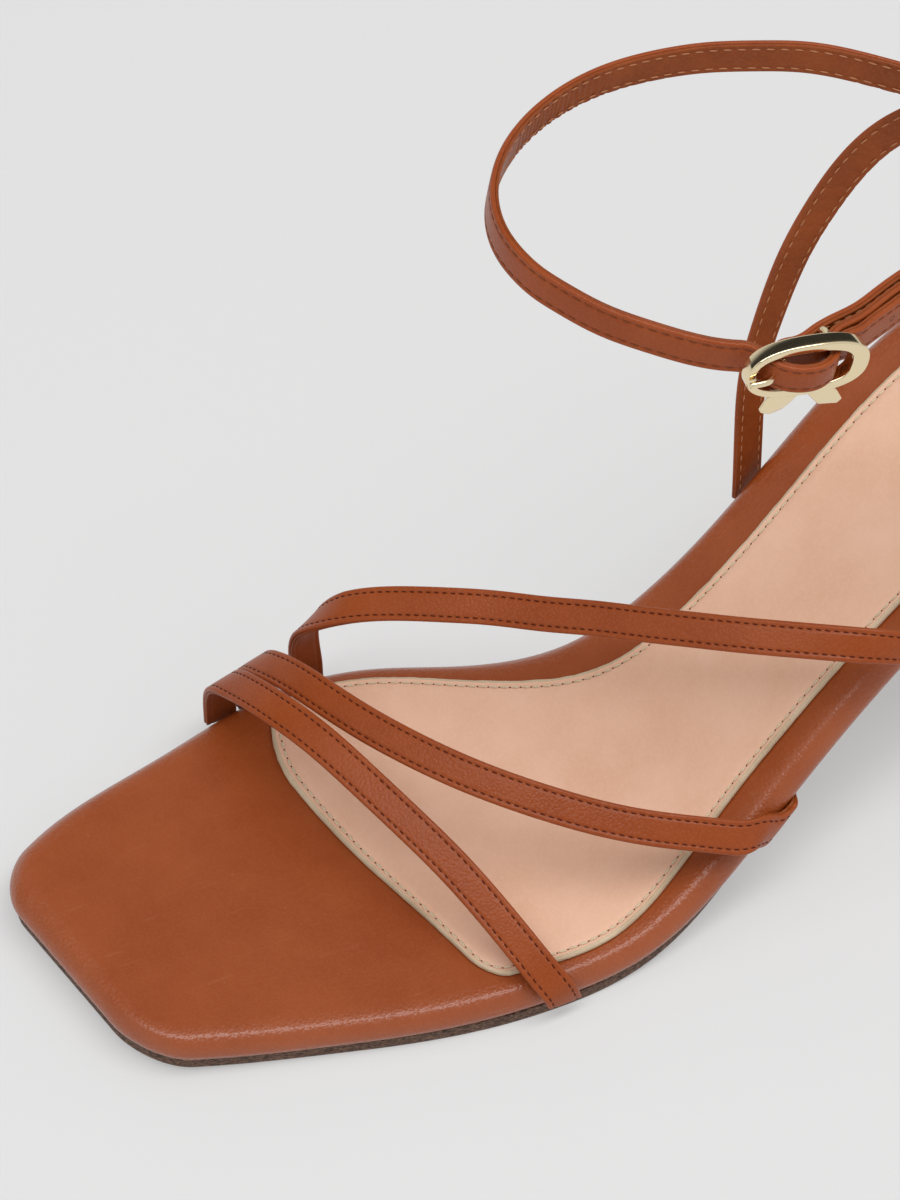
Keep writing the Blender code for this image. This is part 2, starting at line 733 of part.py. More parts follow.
def in_frame(q):
    """Share of the strap's width where the buckle squeezes it."""
    return 1 - 0.14 * math.exp(-(np.linalg.norm(q - at_buckle(0.0, 0.0, BUCKLE_RISE)) / 8.5) ** 6)


turned = off_loop(ankle_route, 900)
ankle = band("ankle_strap", tan_leather, ankle_route, turned, 150, even=False, squeeze=in_frame)
for name, route in (("sling_inner", SLING_INNER), ("sling_outer", SLING_OUTER)):
    arm = band(name, tan_leather, route, off_ankle, 26, STRAP_THICK - 0.2)
    combine(ankle, arm, "UNION")

# Buckle: oval frame, dropped bar on two posts, and two short tails under the frame
half_long = BUCKLE_LONG / 2
half_tall = BUCKLE_TALL / 2
shift = (BUCKLE_ENDS[0] - BUCKLE_ENDS[1]) / 2
opening = (shift, half_long - sum(BUCKLE_ENDS) / 2, half_tall - BUCKLE_BAND, 0.7)
frame = ring("buckle_frame", pale_gold, (0.0, half_long, half_tall, 0.8), opening, BUCKLE_DEEP, 40)
# Bar: share of its reach across the strap, share of its drop
BAR = ((-1.0, 0.05), (-1.0, 0.35), (-0.95, 0.75), (-0.8, 0.97), (-0.6, 1.0), (0.0, 1.0))
BAR += ((0.6, 1.0), (0.8, 0.97), (0.95, 0.75), (1.0, 0.35), (1.0, 0.05))
bar_route = [at_buckle(BAR_BACK, -BAR_DROP * v, BAR_REACH * u + BUCKLE_RISE) for u, v in BAR]
combine(frame, rod("bar", pale_gold, bar_route, (BAR_RADIUS, BAR_RADIUS), 22, 12), "UNION")
# Outlines of the two flat tails: place along the strap, rise
TAIL_FRONT = ((-3.2, -4.6), (-6.0, -6.1), (-6.8, -9.0), (-6.3, -9.9))
TAIL_FRONT += ((-2.8, -10.1), (-0.6, -6.8), (-0.3, -4.8))
TAIL_BACK = ((0.5, -4.8), (1.3, -7.0), (3.9, -10.1), (7.6, -10.4))
TAIL_BACK += ((8.3, -9.3), (6.9, -7.2), (4.6, -5.0))
for name, outline in (("tail_front", TAIL_FRONT), ("tail_back", TAIL_BACK)):
    layers = [[at_buckle(u, v, rise) for u, rise in outline] for v in (0.15, 1.25)]
    combine(frame, stack(name, pale_gold, layers), "UNION")

# Prong: from the bar out of the punched hole to the front end of the frame. Place along the strap, place
# outwards
PRONG = (
    (-0.6, -3.4),
    (-2.8, -2.5),
    (-4.4, -1.4),
    (-5.4, -0.2),
    (-6.2, 1.1),
    (-7.2, 1.9),
    (-8.7, 2.25),
    (-10.7, 2.35),
)
PRONG_RADIUS = 0.7
PRONG_TIP = 0.55
HOLE = ((-4.4, -2.0), (-5.2, -0.6), (-6.0, 0.7), (-6.9, 1.8))
hole_route = [at_buckle(u, v) for u, v in HOLE]
combine(ankle, rod("hole", tan_leather, hole_route, (1.05, 1.05), 5, 12), "DIFFERENCE")
prong_route = [at_buckle(u, v) for u, v in PRONG]
rod("buckle_prong", pale_gold, prong_route, (PRONG_RADIUS, PRONG_RADIUS, PRONG_RADIUS, PRONG_TIP), 16)
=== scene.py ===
"""Heeled strap sandal for the left foot, dressed for the photograph's view.

Metres in the model's own frame: +X towards the toe, +Y towards the outer side, +Z up. The tables are in
millimetres and give shoe places: station behind the toe tip, side towards the outer side, height.
"""
import math

import bpy
import numpy as np
from mathutils import Matrix


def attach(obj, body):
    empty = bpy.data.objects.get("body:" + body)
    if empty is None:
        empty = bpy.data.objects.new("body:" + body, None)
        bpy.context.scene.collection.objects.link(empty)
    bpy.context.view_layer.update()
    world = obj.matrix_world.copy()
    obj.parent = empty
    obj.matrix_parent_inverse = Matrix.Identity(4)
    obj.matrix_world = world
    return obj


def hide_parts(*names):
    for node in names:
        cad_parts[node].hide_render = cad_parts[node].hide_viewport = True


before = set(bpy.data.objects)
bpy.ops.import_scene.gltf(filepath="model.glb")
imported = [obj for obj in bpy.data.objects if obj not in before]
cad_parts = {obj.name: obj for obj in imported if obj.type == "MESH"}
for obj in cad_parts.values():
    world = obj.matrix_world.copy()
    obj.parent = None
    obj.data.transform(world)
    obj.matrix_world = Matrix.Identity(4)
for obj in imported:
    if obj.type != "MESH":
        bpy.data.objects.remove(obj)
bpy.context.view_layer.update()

# Named sizes, nearly all as in the model
MM = 0.001
TOE_X = 123.9              # toe tip ahead of the origin
MID_Y = -0.52              # shoe line beside the origin
GAP = 0.3                  # clearance between pieces that are glued or lasted together
FOOTBED_THICK = 5.0
OUTSOLE_THICK = 3.0
TREAD = FOOTBED_THICK + GAP + OUTSOLE_THICK   # rim height where the forefoot stands on the floor
SOCK_THICK = 1.0
TOE_CORNERS = (8.0, 9.5)   # radii of the square toe's inner and outer corner
TOE_LINE = 0.7             # station of the toe's front line at TOE_LINE_SIDE
TOE_LINE_SIDE = -17.8
TOE_SLANT = 0.1875         # setback of the front line for each millimetre outwards
TOE_FADE = 62.0            # length over which the slant dies out
LEAST_CORNER = 0.8         # corner radius that an inset leaves at least
SEAT_START = 220.0         # station where the rounded heel end starts
SEAT_LENGTH = 27.05        # length of the rounded heel end
SEAT_SWEEP = 1.5           # angle that its rows go round, just short of a quarter turn
STRAP_WIDTH = 6.5
STRAP_THICK = 1.5
SLING_THICK = STRAP_THICK - 0.2
TILT = math.radians(10.0)  # ankle strap higher in front
ANKLE_HEIGHT = 138.2       # height of the ankle strap at ANKLE_STATION
ANKLE_STATION = 190.0

# The last: station, inner edge, outer edge, height of the footbed rim, depth of the cup
LAST = (
    (0, -25.1, 19.8, 10.6, 0.0), (12, -31.5, 24.0, 9.9, 0.0), (25, -35.9, 28.5, 8.9, 0.0),
    (40, -39.1, 33.3, 8.4, 0.0), (55, -42.3, 37.8, 8.3, 0.0), (70, -43.2, 40.9, 8.3, 0.0),
    (85, -39.8, 42.2, 8.3, 0.0), (100, -31.8, 41.7, 9.7, 0.2), (115, -23.8, 38.2, 15.8, 0.5),
    (130, -20.8, 33.9, 26.4, 0.9), (145, -21.4, 30.6, 38.6, 1.2), (160, -24.3, 28.1, 50.0, 1.5),
    (175, -27.5, 26.4, 59.9, 1.8), (190, -29.5, 26.1, 67.4, 2.0), (205, -29.9, 26.0, 72.6, 2.2),
    (220, -28.4, 25.0, 76.4, 2.2), (250, -26.6, 24.0, 81.8, 2.2),
)
# Outsole: station, tuck under the footbed edge
SOLE_TUCK = ((0, 1.2), (60, 0.7), (95, 0.7), (120, 3.0), (140, 5.5), (170, 7.5), (200, 8.0), (250, 8.0))
SOLE_END = 196.0           # station of the heel breast
SOLE_SET_BACK = 1.0        # its front line behind the footbed's
SOLE_CORNER_LESS = 0.5     # its corner radii less than the footbed's
# Sock: station, inner margin, outer margin
SOCK_EDGE = (
    (50, 4.4, 5.2), (77, 4.7, 4.8), (93, 6.0, 4.3), (105, 7.4, 5.7), (120, 10.1, 7.5),
    (135, 10.4, 7.5), (155, 10.2, 7.1), (180, 9.6, 6.6), (250, 8.6, 6.8),
)
# Front line of the sock: side, station
SOCK_FRONT = ((-38, 61.6), (-25, 57.8), (-14, 58.6), (-2, 60.9), (15, 65.6), (38, 71.6))
SOCK_CORNERS = (6.0, 6.0)
SOCK_FADE = 50.0
# Heel: share of height, breast station, back station, half width
HEEL = (
    (0.00, 214.0, 236.0, 10.5), (0.20, 214.0, 237.0, 11.3), (0.45, 213.0, 239.0, 13.6),
    (0.68, 210.5, 241.5, 17.2), (0.86, 205.5, 243.6, 21.3), (0.96, 200.5, 245.0, 23.6),
    (1.00, 198.5, 245.6, 24.2),
)
HEEL_SIDE = -0.6           # heel's middle line
HEEL_POWER = 0.8           # squareness of its outline
TOP_PIECE = 4.5            # height of the wearing tip
# Foot straps: station, side, lift above the footbed rim, facing forwards, outwards and upwards, and the
# section's shear along the strap
TOE_FRONT = (
    (54.0, -43.7, -4.2, 0.0, -1.0, 0.0, 0.0), (54.0, -43.8, 0.0, 0.0, -1.0, 0.05, 0.0),
    (53.8, -43.0, 5.2, 0.05, -0.95, 0.3, 0.0), (53.7, -40.3, 10.6, 0.2, -0.75, 0.6, 0.0),
    (54.4, -35.4, 14.6, 0.45, -0.4, 0.75, 0.0), (56.9, -23.8, 19.7, 0.35, 0.25, 0.85, 0.0),
    (60.2, -13.5, 20.9, 0.3, 0.5, 0.8, 0.0), (64.1, -2.0, 19.6, 0.28, 0.56, 0.78, 0.0),
    (68.0, 8.7, 17.2, 0.28, 0.56, 0.78, 0.0), (71.9, 19.1, 14.0, 0.28, 0.56, 0.78, 0.0),
    (75.3, 29.0, 9.8, 0.28, 0.56, 0.78, 0.0), (77.9, 36.7, 5.8, 0.27, 0.6, 0.75, 0.1),
    (79.8, 41.4, 2.6, 0.2, 0.78, 0.58, 0.3), (81.0, 43.2, 0.3, 0.1, 0.95, 0.3, 0.36),
    (82.2, 43.4, -3.4, 0.0, 1.0, 0.0, 0.36),
)
TOE_REAR = (
    (61.0, -44.5, -4.2, 0.0, -1.0, 0.0, 0.0), (61.0, -44.6, 0.0, 0.0, -1.0, 0.05, 0.0),
    (60.9, -43.9, 6.0, 0.05, -0.95, 0.3, 0.0), (60.6, -41.3, 11.4, 0.2, -0.75, 0.6, 0.0),
    (61.1, -37.6, 14.8, 0.4, -0.5, 0.75, 0.0), (62.5, -32.0, 17.9, 0.45, -0.15, 0.85, 0.0),
    (65.7, -20.8, 21.1, 0.38, 0.3, 0.85, 0.0), (69.6, -11.3, 22.0, 0.32, 0.46, 0.82, 0.0),
    (74.3, -2.6, 22.3, 0.28, 0.56, 0.78, 0.0), (79.5, 5.4, 22.3, 0.28, 0.56, 0.78, 0.0),
    (85.3, 12.6, 21.9, 0.28, 0.56, 0.78, 0.0), (91.7, 19.1, 20.8, 0.28, 0.56, 0.78, 0.0),
    (98.5, 25.1, 19.0, 0.28, 0.56, 0.78, 0.0), (105.9, 30.5, 16.0, 0.28, 0.56, 0.78, 0.1),
    (113.7, 34.6, 10.9, 0.28, 0.6, 0.75, 0.35),
    (118.3, 36.5, 6.9, 0.28, 0.66, 0.7, 0.6), (121.6, 37.5, 3.9, 0.27, 0.71, 0.65, 0.72),
    (123.9, 37.7, 1.8, 0.2, 0.79, 0.58, 0.73), (125.4, 37.5, 0.1, 0.06, 0.91, 0.42, 0.73),
    (126.8, 37.0, -1.9, -0.1, 0.97, 0.22, 0.73), (128.2, 36.5, -3.8, -0.28, 0.96, -0.01, 0.73),
    (129.5, 35.9, -5.3, -0.43, 0.87, -0.24, 0.73), (130.6, 35.1, -6.5, -0.55, 0.7, -0.46, 0.73),
    (131.5, 34.2, -7.3, -0.61, 0.49, -0.62, 0.73),
    (132.1, 33.1, -7.9, -0.63, 0.25, -0.74, 0.73), (132.5, 31.9, -8.25, -0.6, 0.02, -0.8, 0.7),
    (132.7, 30.7, -8.4, -0.55, -0.18, -0.82, 0.65),
)
INSTEP = (
    (72.4, -44.2, -4.2, 0.0, -1.0, 0.0, 0.0), (72.4, -44.4, 0.0, 0.0, -1.0, 0.05, 0.0),
    (71.8, -43.9, 6.5, 0.1, -1.0, 0.1, 0.0), (71.7, -42.3, 14.6, 0.3, -0.9, 0.3, 0.0),
    (73.4, -39.1, 20.7, 0.6, -0.6, 0.5, 0.0), (76.5, -35.6, 25.2, 0.75, -0.25, 0.6, 0.0),
    (83.6, -29.4, 29.5, 0.55, 0.2, 0.78, 0.0), (90.7, -22.8, 32.4, 0.4, 0.42, 0.8, 0.0),
    (97.7, -16.5, 33.9, 0.32, 0.52, 0.79, 0.0), (104.3, -9.5, 34.7, 0.28, 0.56, 0.78, 0.0),
    (110.8, -2.4, 35.1, 0.28, 0.56, 0.78, 0.0), (117.2, 4.7, 34.2, 0.28, 0.56, 0.78, 0.0),
    (123.6, 11.5, 32.3, 0.28, 0.56, 0.78, 0.0), (130.2, 17.9, 29.2, 0.28, 0.56, 0.78, 0.0),
    (137.1, 23.7, 25.0, 0.26, 0.6, 0.76, 0.0), (144.3, 29.1, 20.0, 0.2, 0.68, 0.7, 0.0),
    (148.9, 31.6, 16.0, 0.15, 0.78, 0.6, 0.0), (153.8, 33.0, 10.6, 0.05, 0.92, 0.38, 0.0),
    (157.9, 33.2, 4.6, 0.0, 1.0, 0.12, 0.0), (161.4, 31.9, -3.6, 0.0, 1.0, -0.1, 0.0),
)
# Sling arms: station, side, height
SLING_INNER = (
    (154.4, -24.1, 38.4), (154.5, -24.3, 42.0), (154.6, -24.6, 47.0), (154.8, -25.2, 55.8),
    (156.1, -26.5, 71.1), (158.9, -27.2, 81.9),
    (164.2, -27.5, 97.9), (168.9, -27.0, 108.0),
    (173.8, -26.0, 116.6), (178.8, -24.3, 123.0), (184.4, -20.4, 129.0), (189.2, -14.6, 134.0),
    (193.8, -6.6, 137.4),
)
SLING_OUTER = (
    (166.0, 28.9, 50.4), (166.1, 29.3, 56.0), (166.4, 29.9, 64.0),
    (167.6, 31.0, 77.0), (170.0, 30.4, 90.0),
    (174.0, 28.8, 103.0), (179.0, 26.0, 115.0), (184.4, 21.6, 126.0), (189.2, 15.6, 133.4),
    (194.0, 7.4, 137.4),
)
SLING_AXIS = 160.0         # station of the upright line the sling arms face away from
# Buckle: centre, turn about the upright, sizes along and across the strap
BUCKLE_STATION = 127.85
BUCKLE_SIDE = 36.6
BUCKLE_TURN = math.radians(7.0)
BUCKLE_LONG = 21.7
BUCKLE_TALL = 11.7
BUCKLE_BAND = 1.8          # width of the frame's face above and below
BUCKLE_ENDS = (1.5, 3.0)   # width of the frame's face at its front and rear end
BUCKLE_RISE = 0.5          # frame's middle above the strap's
BUCKLE_DEEP = 2.8          # thickness of the frame
FRAME_POWER = 0.8          # squareness of the frame's outline and of its hollow
HOLLOW_POWER = 0.7
BAR_DROP = 4.4             # bar inside the frame's middle plane
BAR_BACK = 4.0             # bar behind the frame's middle
BAR_REACH = 4.0            # bar's posts above and below the frame's middle
BAR_RADIUS = 0.6
# Layer folded back inside the strap, from its cut end: station, side
FOLD_BACK = ((158.0, 22.5), (150.7, 25.0), (146.1, 26.9), (141.5, 28.8))
# Fold round the bar: place along the strap behind the buckle's centre, place outwards, rise
FOLD = (
    (8.6, -7.7, 0.2), (5.6, -6.6, 0.3), (3.6, -5.85, 0.2), (1.6, -4.9, 0.0), (-0.6, -4.3, -0.2),
    (-2.8, -4.15, -0.3), (-3.9, -3.4, -0.3), (-2.8, -2.65, -0.3), (-0.6, -2.6, -0.2), (2.0, -2.65, 0.0),
    (4.2, -2.95, 0.2), (6.4, -4.5, 0.3), (10.2, -6.15, 0.1),
)
# Ankle strap round the heel to the inner side and the front: station, side
ANKLE_LOOP = (
    (146.1, 28.85), (150.7, 26.95), (159.0, 24.3), (167.0, 22.4), (176.0, 19.4), (186.0, 14.2),
    (193.6, 6.0), (194.6, -3.2), (189.0, -12.2), (178.4, -21.7), (165.3, -31.1), (157.0, -34.0),
    (148.3, -36.2), (139.0, -37.1), (129.3, -36.6), (119.2, -34.0), (109.1, -28.9), (99.9, -20.9),
    (93.9, -10.3), (92.9, -4.7), (93.2, 0.4), (94.4, 5.1), (96.3, 9.1), (100.8, 16.4),
    (106.5, 22.4), (112.7, 27.7),
)
# Strap through the buckle: place along the strap, place outwards, rise
PASS = (
    (-11.2, -4.8, 0.1), (-9.2, -3.9, 0.3), (-7.7, -2.3, 0.5), (-6.6, -0.4, 0.5), (-5.0, 1.5, 0.5),
    (-1.8, 2.9, 0.5), (1.6, 2.7, 0.5), (3.6, 1.6, 0.5), (5.0, 0.0, 0.5), (6.1, -2.1, 0.5),
    (8.2, -3.4, 0.3), (10.6, -4.1, 0.1),
)
# Tail behind the buckle: station, side
TAIL = (
    (141.5, 32.7), (146.1, 30.8), (150.7, 28.9), (159.0, 26.2), (167.0, 24.3),
)
# Prong: place along the strap, place outwards
PRONG = (
    (-0.6, -3.4), (-2.8, -2.5), (-4.4, -1.4), (-5.4, -0.2), (-6.2, 1.1), (-7.2, 1.9), (-8.7, 2.25),
    (-10.7, 2.35),
)
PRONG_RADII = (0.7, 0.72, 0.7, 0.68, 0.62, 0.5)
# Outlines of the two flat tails under the frame: place along the strap, rise
TAIL_FRONT = (
    (-3.2, -4.4), (-5.8, -5.4), (-6.75, -8.3), (-6.3, -9.1), (-4.6, -9.6), (-2.4, -8.7), (-1.1, -7.2),
    (-0.3, -5.9), (-0.3, -4.4),
)
TAIL_BACK = (
    (0.5, -4.5), (1.3, -5.9), (3.9, -8.9), (7.5, -9.3), (8.2, -8.4), (6.9, -6.3), (4.6, -4.4),
)
# Their edge and low ridge: share of the outline, place outwards
TAIL_PROFILE = (
    (0.4, 0.15), (0.9, 0.15), (0.98, 0.24), (1.0, 0.42), (0.98, 0.6), (0.94, 0.68), (0.9, 0.72),
    (0.5, 0.95), (0.12, 1.15), (0.04, 1.17),
)

# Sewing; a stitch's size is its half length, half width and half height
STITCH_IN = 1.1            # strap stitch line inside the turned edge
STITCH_SUNK = 0.06         # its stitches' middles below the face
STITCH_SHARE = 0.32        # half length of a stitch in pitches
STITCH_HALF = (0.14, 0.12)  # its half width and half height
FOOT_PITCH = 1.65          # stitch and gap on the foot straps
ANKLE_PITCH = 2.3          # the same on the ankle strap and the sling
LINING_PITCH = 2.6
LINING_SUNK = 0.02
LINING_STITCH = (0.85, 0.2, 0.14)
SOCK_STITCH_IN = 1.45      # sock stitch line inside the cut edge
SOCK_GROOVE = 0.22         # its depth below the sock's top
SOCK_PITCH = 2.1
SOCK_STITCH = (0.8, 0.28, 0.22)
# Half sizes of the dark disc of painted shade at each needle hole
NEEDLE_HOLE = (0.19, 0.19, 0.1)


def natural(x, y):
    """Natural cubic through rows y at keys x: one linear system gives the second slopes, and between two
    keys the value is the cubic that has those slopes at its ends."""
    x = np.asarray(x, float)
    y = np.asarray(y, float).reshape(len(x), -1)
    h = np.diff(x)
    rise = np.diff(y, axis=0) / h[:, None]
    k = np.arange(1, len(x) - 1)
    a = np.eye(len(x))
    a[k, k - 1] = h[:-1]
    a[k, k] = 2 * (h[:-1] + h[1:])
    a[k, k + 1] = h[1:]
    b = np.zeros_like(y)
    b[1:-1] = 6 * np.diff(rise, axis=0)
    m = np.linalg.solve(a, b)

    def at(q):
        """Value at q, from the two keys on either side of it."""
        q = np.asarray(q, float)
        i = np.clip(np.searchsorted(x, q) - 1, 0, len(x) - 2)
        g = h[i][..., None]
        u = (x[i + 1] - q)[..., None]
        v = (q - x[i])[..., None]
        bend = (m[i] * u ** 3 + m[i + 1] * v ** 3) / (6 * g)
        return bend + (y[i] / g - m[i] * g / 6) * u + (y[i + 1] / g - m[i + 1] * g / 6) * v

    return at


def curve(table, column):
    """One column of a table as a smooth function of its first column."""
    rows = np.array(table, float)
    at = natural(rows[:, 0], rows[:, column])
    return lambda q: at(q)[..., 0]


inner_edge = curve(LAST, 1)
outer_edge = curve(LAST, 2)
rim_curve = curve(LAST, 3)
cup_depth = curve(LAST, 4)
sole_tuck = curve(SOLE_TUCK, 1)
sock_inner = curve(SOCK_EDGE, 1)
sock_outer = curve(SOCK_EDGE, 2)
sock_front = curve(SOCK_FRONT, 1)
heel_front = curve(HEEL, 1)
heel_back = curve(HEEL, 2)
heel_half = curve(HEEL, 3)


def rim_height(s):
    """Height of the footbed rim, never lower than the tread."""
    return np.maximum(rim_curve(s), TREAD)


def slope(s):
    """Angle of the footbed's long profile, from heights half a millimetre before and behind."""
    return np.arctan(rim_height(s + 0.5) - rim_height(s - 0.5))


def bed_top(s, y):
    """Footbed's top: the rim height less a parabola across, the cup."""
    lo = inner_edge(s)
    hi = outer_edge(s)
    t = np.clip((2 * y - lo - hi) / (hi - lo), -1, 1)
    return rim_height(s) - cup_depth(s) * (1 - t ** 2)


def plan(inset, rows, across, inner, outer, front, fade, corner, end=None):
    """Stations and sides on a grid inside an outline, held in by an inset.

    Rows run backwards from the front line, given by side, whose slant dies out as a square over fade. Each
    edge is drawn in along a quarter circle at its front corner, and its place is found by going four times
    between side and station. The last rows shrink as a half ellipse for the heel, or the piece is cut
    straight at the station end. Across, places are spread evenly between the two edges.
    """
    t = np.linspace(0, 1, across)
    radii = [max(c - inset, LEAST_CORNER) for c in corner]
    base = float(front(0.0))
    bend = inset + max(radii) * (1 - np.cos(np.linspace(0, math.pi / 2, rows[0])))
    stop = (SEAT_START if end is None else end - inset) - base
    run = np.concatenate([bend, np.linspace(bend[-1], stop, rows[1] + 1)[1:]])
    still = np.maximum(0, 1 - run / fade) ** 2
    ends = []
    for edge, way, radius in ((inner, 1, radii[0]), (outer, -1, radii[1])):
        left = np.maximum(radius - (run - inset), 0)
        draw = radius - np.sqrt(np.maximum(radius ** 2 - left ** 2, 0))
        y = edge(base + run)
        for _ in range(4):
            s = base + run + (front(y) - base) * still
            y = edge(s) + way * (inset + draw) * np.hypot(1, edge(s + 0.5) - edge(s - 0.5))
        ends.append(y[:, None])
    y = ends[0] + (ends[1] - ends[0]) * t
    grid = np.stack([base + run[:, None] + (front(y) - base) * still[:, None], y], -1)
    if end is None:
        lo = inner(SEAT_START) + inset
        hi = outer(SEAT_START) - inset
        back = SEAT_LENGTH - inset - (inner(SEAT_START) - inner_edge(SEAT_START))
        a = np.linspace(0, SEAT_SWEEP, rows[2] + 1)[1:, None]
        end_s = SEAT_START + back * np.sin(a) + 0 * t
        end_y = (lo + hi) / 2 + (hi - lo) / 2 * np.cos(a) * (2 * t - 1)
        grid = np.concatenate([grid, np.stack([end_s, end_y], -1)])
    return grid


def sunk(grid, depth):
    """Footbed-top places moved down by depth, square to the long profile."""
    s = grid[..., 0]
    y = grid[..., 1]
    a = slope(s)
    return np.stack([s + depth * np.sin(a), y, bed_top(s, y) - depth * np.cos(a)], -1)


def squared(a, power):
    """Cosine and sine of the angles a, their sizes raised to a power: a circle for 1, squarer below it."""
    return [np.sign(c) * np.abs(c) ** power for c in (np.cos(a), np.sin(a))]


def edge_loop(n, m):
    """Indices round the edge of an n by m grid, in order."""
    idx = np.arange(n * m).reshape(n, m)
    return np.concatenate([idx[0], idx[1:, -1], idx[-1, -2::-1], idx[-2:0:-1, 0]])


def grid_quads(idx):
    """Quads between neighbouring rows and columns of an index grid."""
    corners = (idx[:-1, :-1], idx[1:, :-1], idx[1:, 1:], idx[:-1, 1:])
    return np.stack(corners, -1).reshape(-1, 4)


def sheet(layers):
    """Closed sheet: first layer is the top face, last the underside, and only the edge loops of those
    between are used. Returns places, faces and, for each face, 0 on top, 1 at the edge, 2 below."""
    n, m = layers[0].shape[:2]
    loop = edge_loop(n, m)
    mids = np.array([layer.reshape(-1, 3)[loop] for layer in layers[1:-1]]).reshape(-1, 3)
    places = np.concatenate([layers[0].reshape(-1, 3), mids, layers[-1].reshape(-1, 3)])
    top = np.arange(n * m).reshape(n, m)
    low = top + n * m + len(mids)
    rings = np.concatenate([
        loop[None],
        n * m + np.arange(len(mids)).reshape(-1, len(loop)),
        loop[None] + n * m + len(mids),
    ])
    rings = np.concatenate([rings, rings[:, :1]], 1)
    parts = (grid_quads(top), grid_quads(rings)[:, ::-1], grid_quads(low)[:, ::-1])
    marks = np.concatenate([np.full(len(f), k) for k, f in enumerate(parts)])
    return places, [np.concatenate(parts)], marks


def tube(rings, closed=False):
    """Skin over rings of places (rows of a grid whose columns close): quads between neighbouring rings,
    and a fan of triangles to the middle of each end unless the rings close too."""
    n, k = rings.shape[:2]
    idx = np.arange(n * k).reshape(n, k)
    idx = np.concatenate([idx, idx[:, :1]], 1)
    if closed:
        return rings.reshape(-1, 3), [grid_quads(np.concatenate([idx, idx[:1]]))]
    places = np.concatenate([rings.reshape(-1, 3), rings[0].mean(0)[None], rings[-1].mean(0)[None]])
    first = np.stack([idx[0, 1:], idx[0, :-1], np.full(k, n * k)], -1)
    last = np.stack([idx[-1, :-1], idx[-1, 1:], np.full(k, n * k + 1)], -1)
    return places, [grid_quads(idx)[:, ::-1], np.concatenate([first, last])]


def joined(*shells):
    """Several shells as one: places stacked, faces numbered on."""
    places = np.concatenate([s[0] for s in shells])
    start = np.cumsum([0] + [len(s[0]) for s in shells[:-1]])
    faces = [f + k for s, k in zip(shells, start) for f in s[1]]
    return places, faces


def make(name, shell, finishes, stands_for=(), marks=None, grain=None):
    """Mesh object from a shell of shoe places. Stations run along -X, and the faces are turned round if
    the volume they enclose comes out negative. marks gives the finish of each face, grain the liveliness of
    the relief at each place."""
    places, faces = shell[:2]
    world = np.stack([TOE_X - places[:, 0], places[:, 1] - MID_Y, places[:, 2]], -1) * MM
    volume = 0.0
    for f in faces:
        for k in range(1, f.shape[1] - 1):
            volume += (world[f[:, 0]] * np.cross(world[f[:, k]], world[f[:, k + 1]])).sum()
    if volume < 0:
        faces = [f[:, ::-1] for f in faces]
    mesh = bpy.data.meshes.new(name)
    mesh.from_pydata(world.tolist(), [], [row for f in faces for row in f.tolist()])
    for finish in finishes:
        mesh.materials.append(finish)
    mesh.polygons.foreach_set("use_smooth", np.ones(len(mesh.polygons), bool))
    if marks is not None:
        mesh.polygons.foreach_set("material_index", np.asarray(marks, np.int32))
    calm = np.ones(len(world)) if grain is None else grain
    mesh.attributes.new("grain", "FLOAT", "POINT").data.foreach_set("value", calm)
    mesh.update()
    piece = bpy.data.objects.new(name, mesh)
    bpy.context.scene.collection.objects.link(piece)
    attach(piece, "root")
    if stands_for:
        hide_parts(*stands_for)


# Finishes

def tone(code):
    """sRGB hex to linear colour."""
    c = np.array([int(code[k:k + 2], 16) for k in (1, 3, 5)]) / 255
    return (*np.where(c <= 0.04045, c / 12.92, ((c + 0.055) / 1.055) ** 2.4).tolist(), 1.0)


def per(mm):
    """Texture scale on coordinates in metres for a feature of so many millimetres."""
    return 1000.0 / mm


def add(tree, kind, values=(), feeds=(), **settings):
    """One node: its settings, the values of its sockets, and the sockets that feed it."""
    made = tree.nodes.new("ShaderNode" + kind)
    for key, value in settings.items():
        setattr(made, key, value)
    for key, value in dict(values).items():
        made.inputs[key].default_value = value
    for key, source in dict(feeds).items():
        tree.links.new(source, made.inputs[key])
    return made


def finish_of(name, **sockets):
    """New material and its shader, with plain values set on the shader's own sockets."""
    mat = bpy.data.materials.new(name)
    mat.use_nodes = True
    shader = mat.node_tree.nodes["Principled BSDF"]
    for key, value in sockets.items():
        shader.inputs[key.replace("_", " ")].default_value = value
    return mat, mat.node_tree, shader


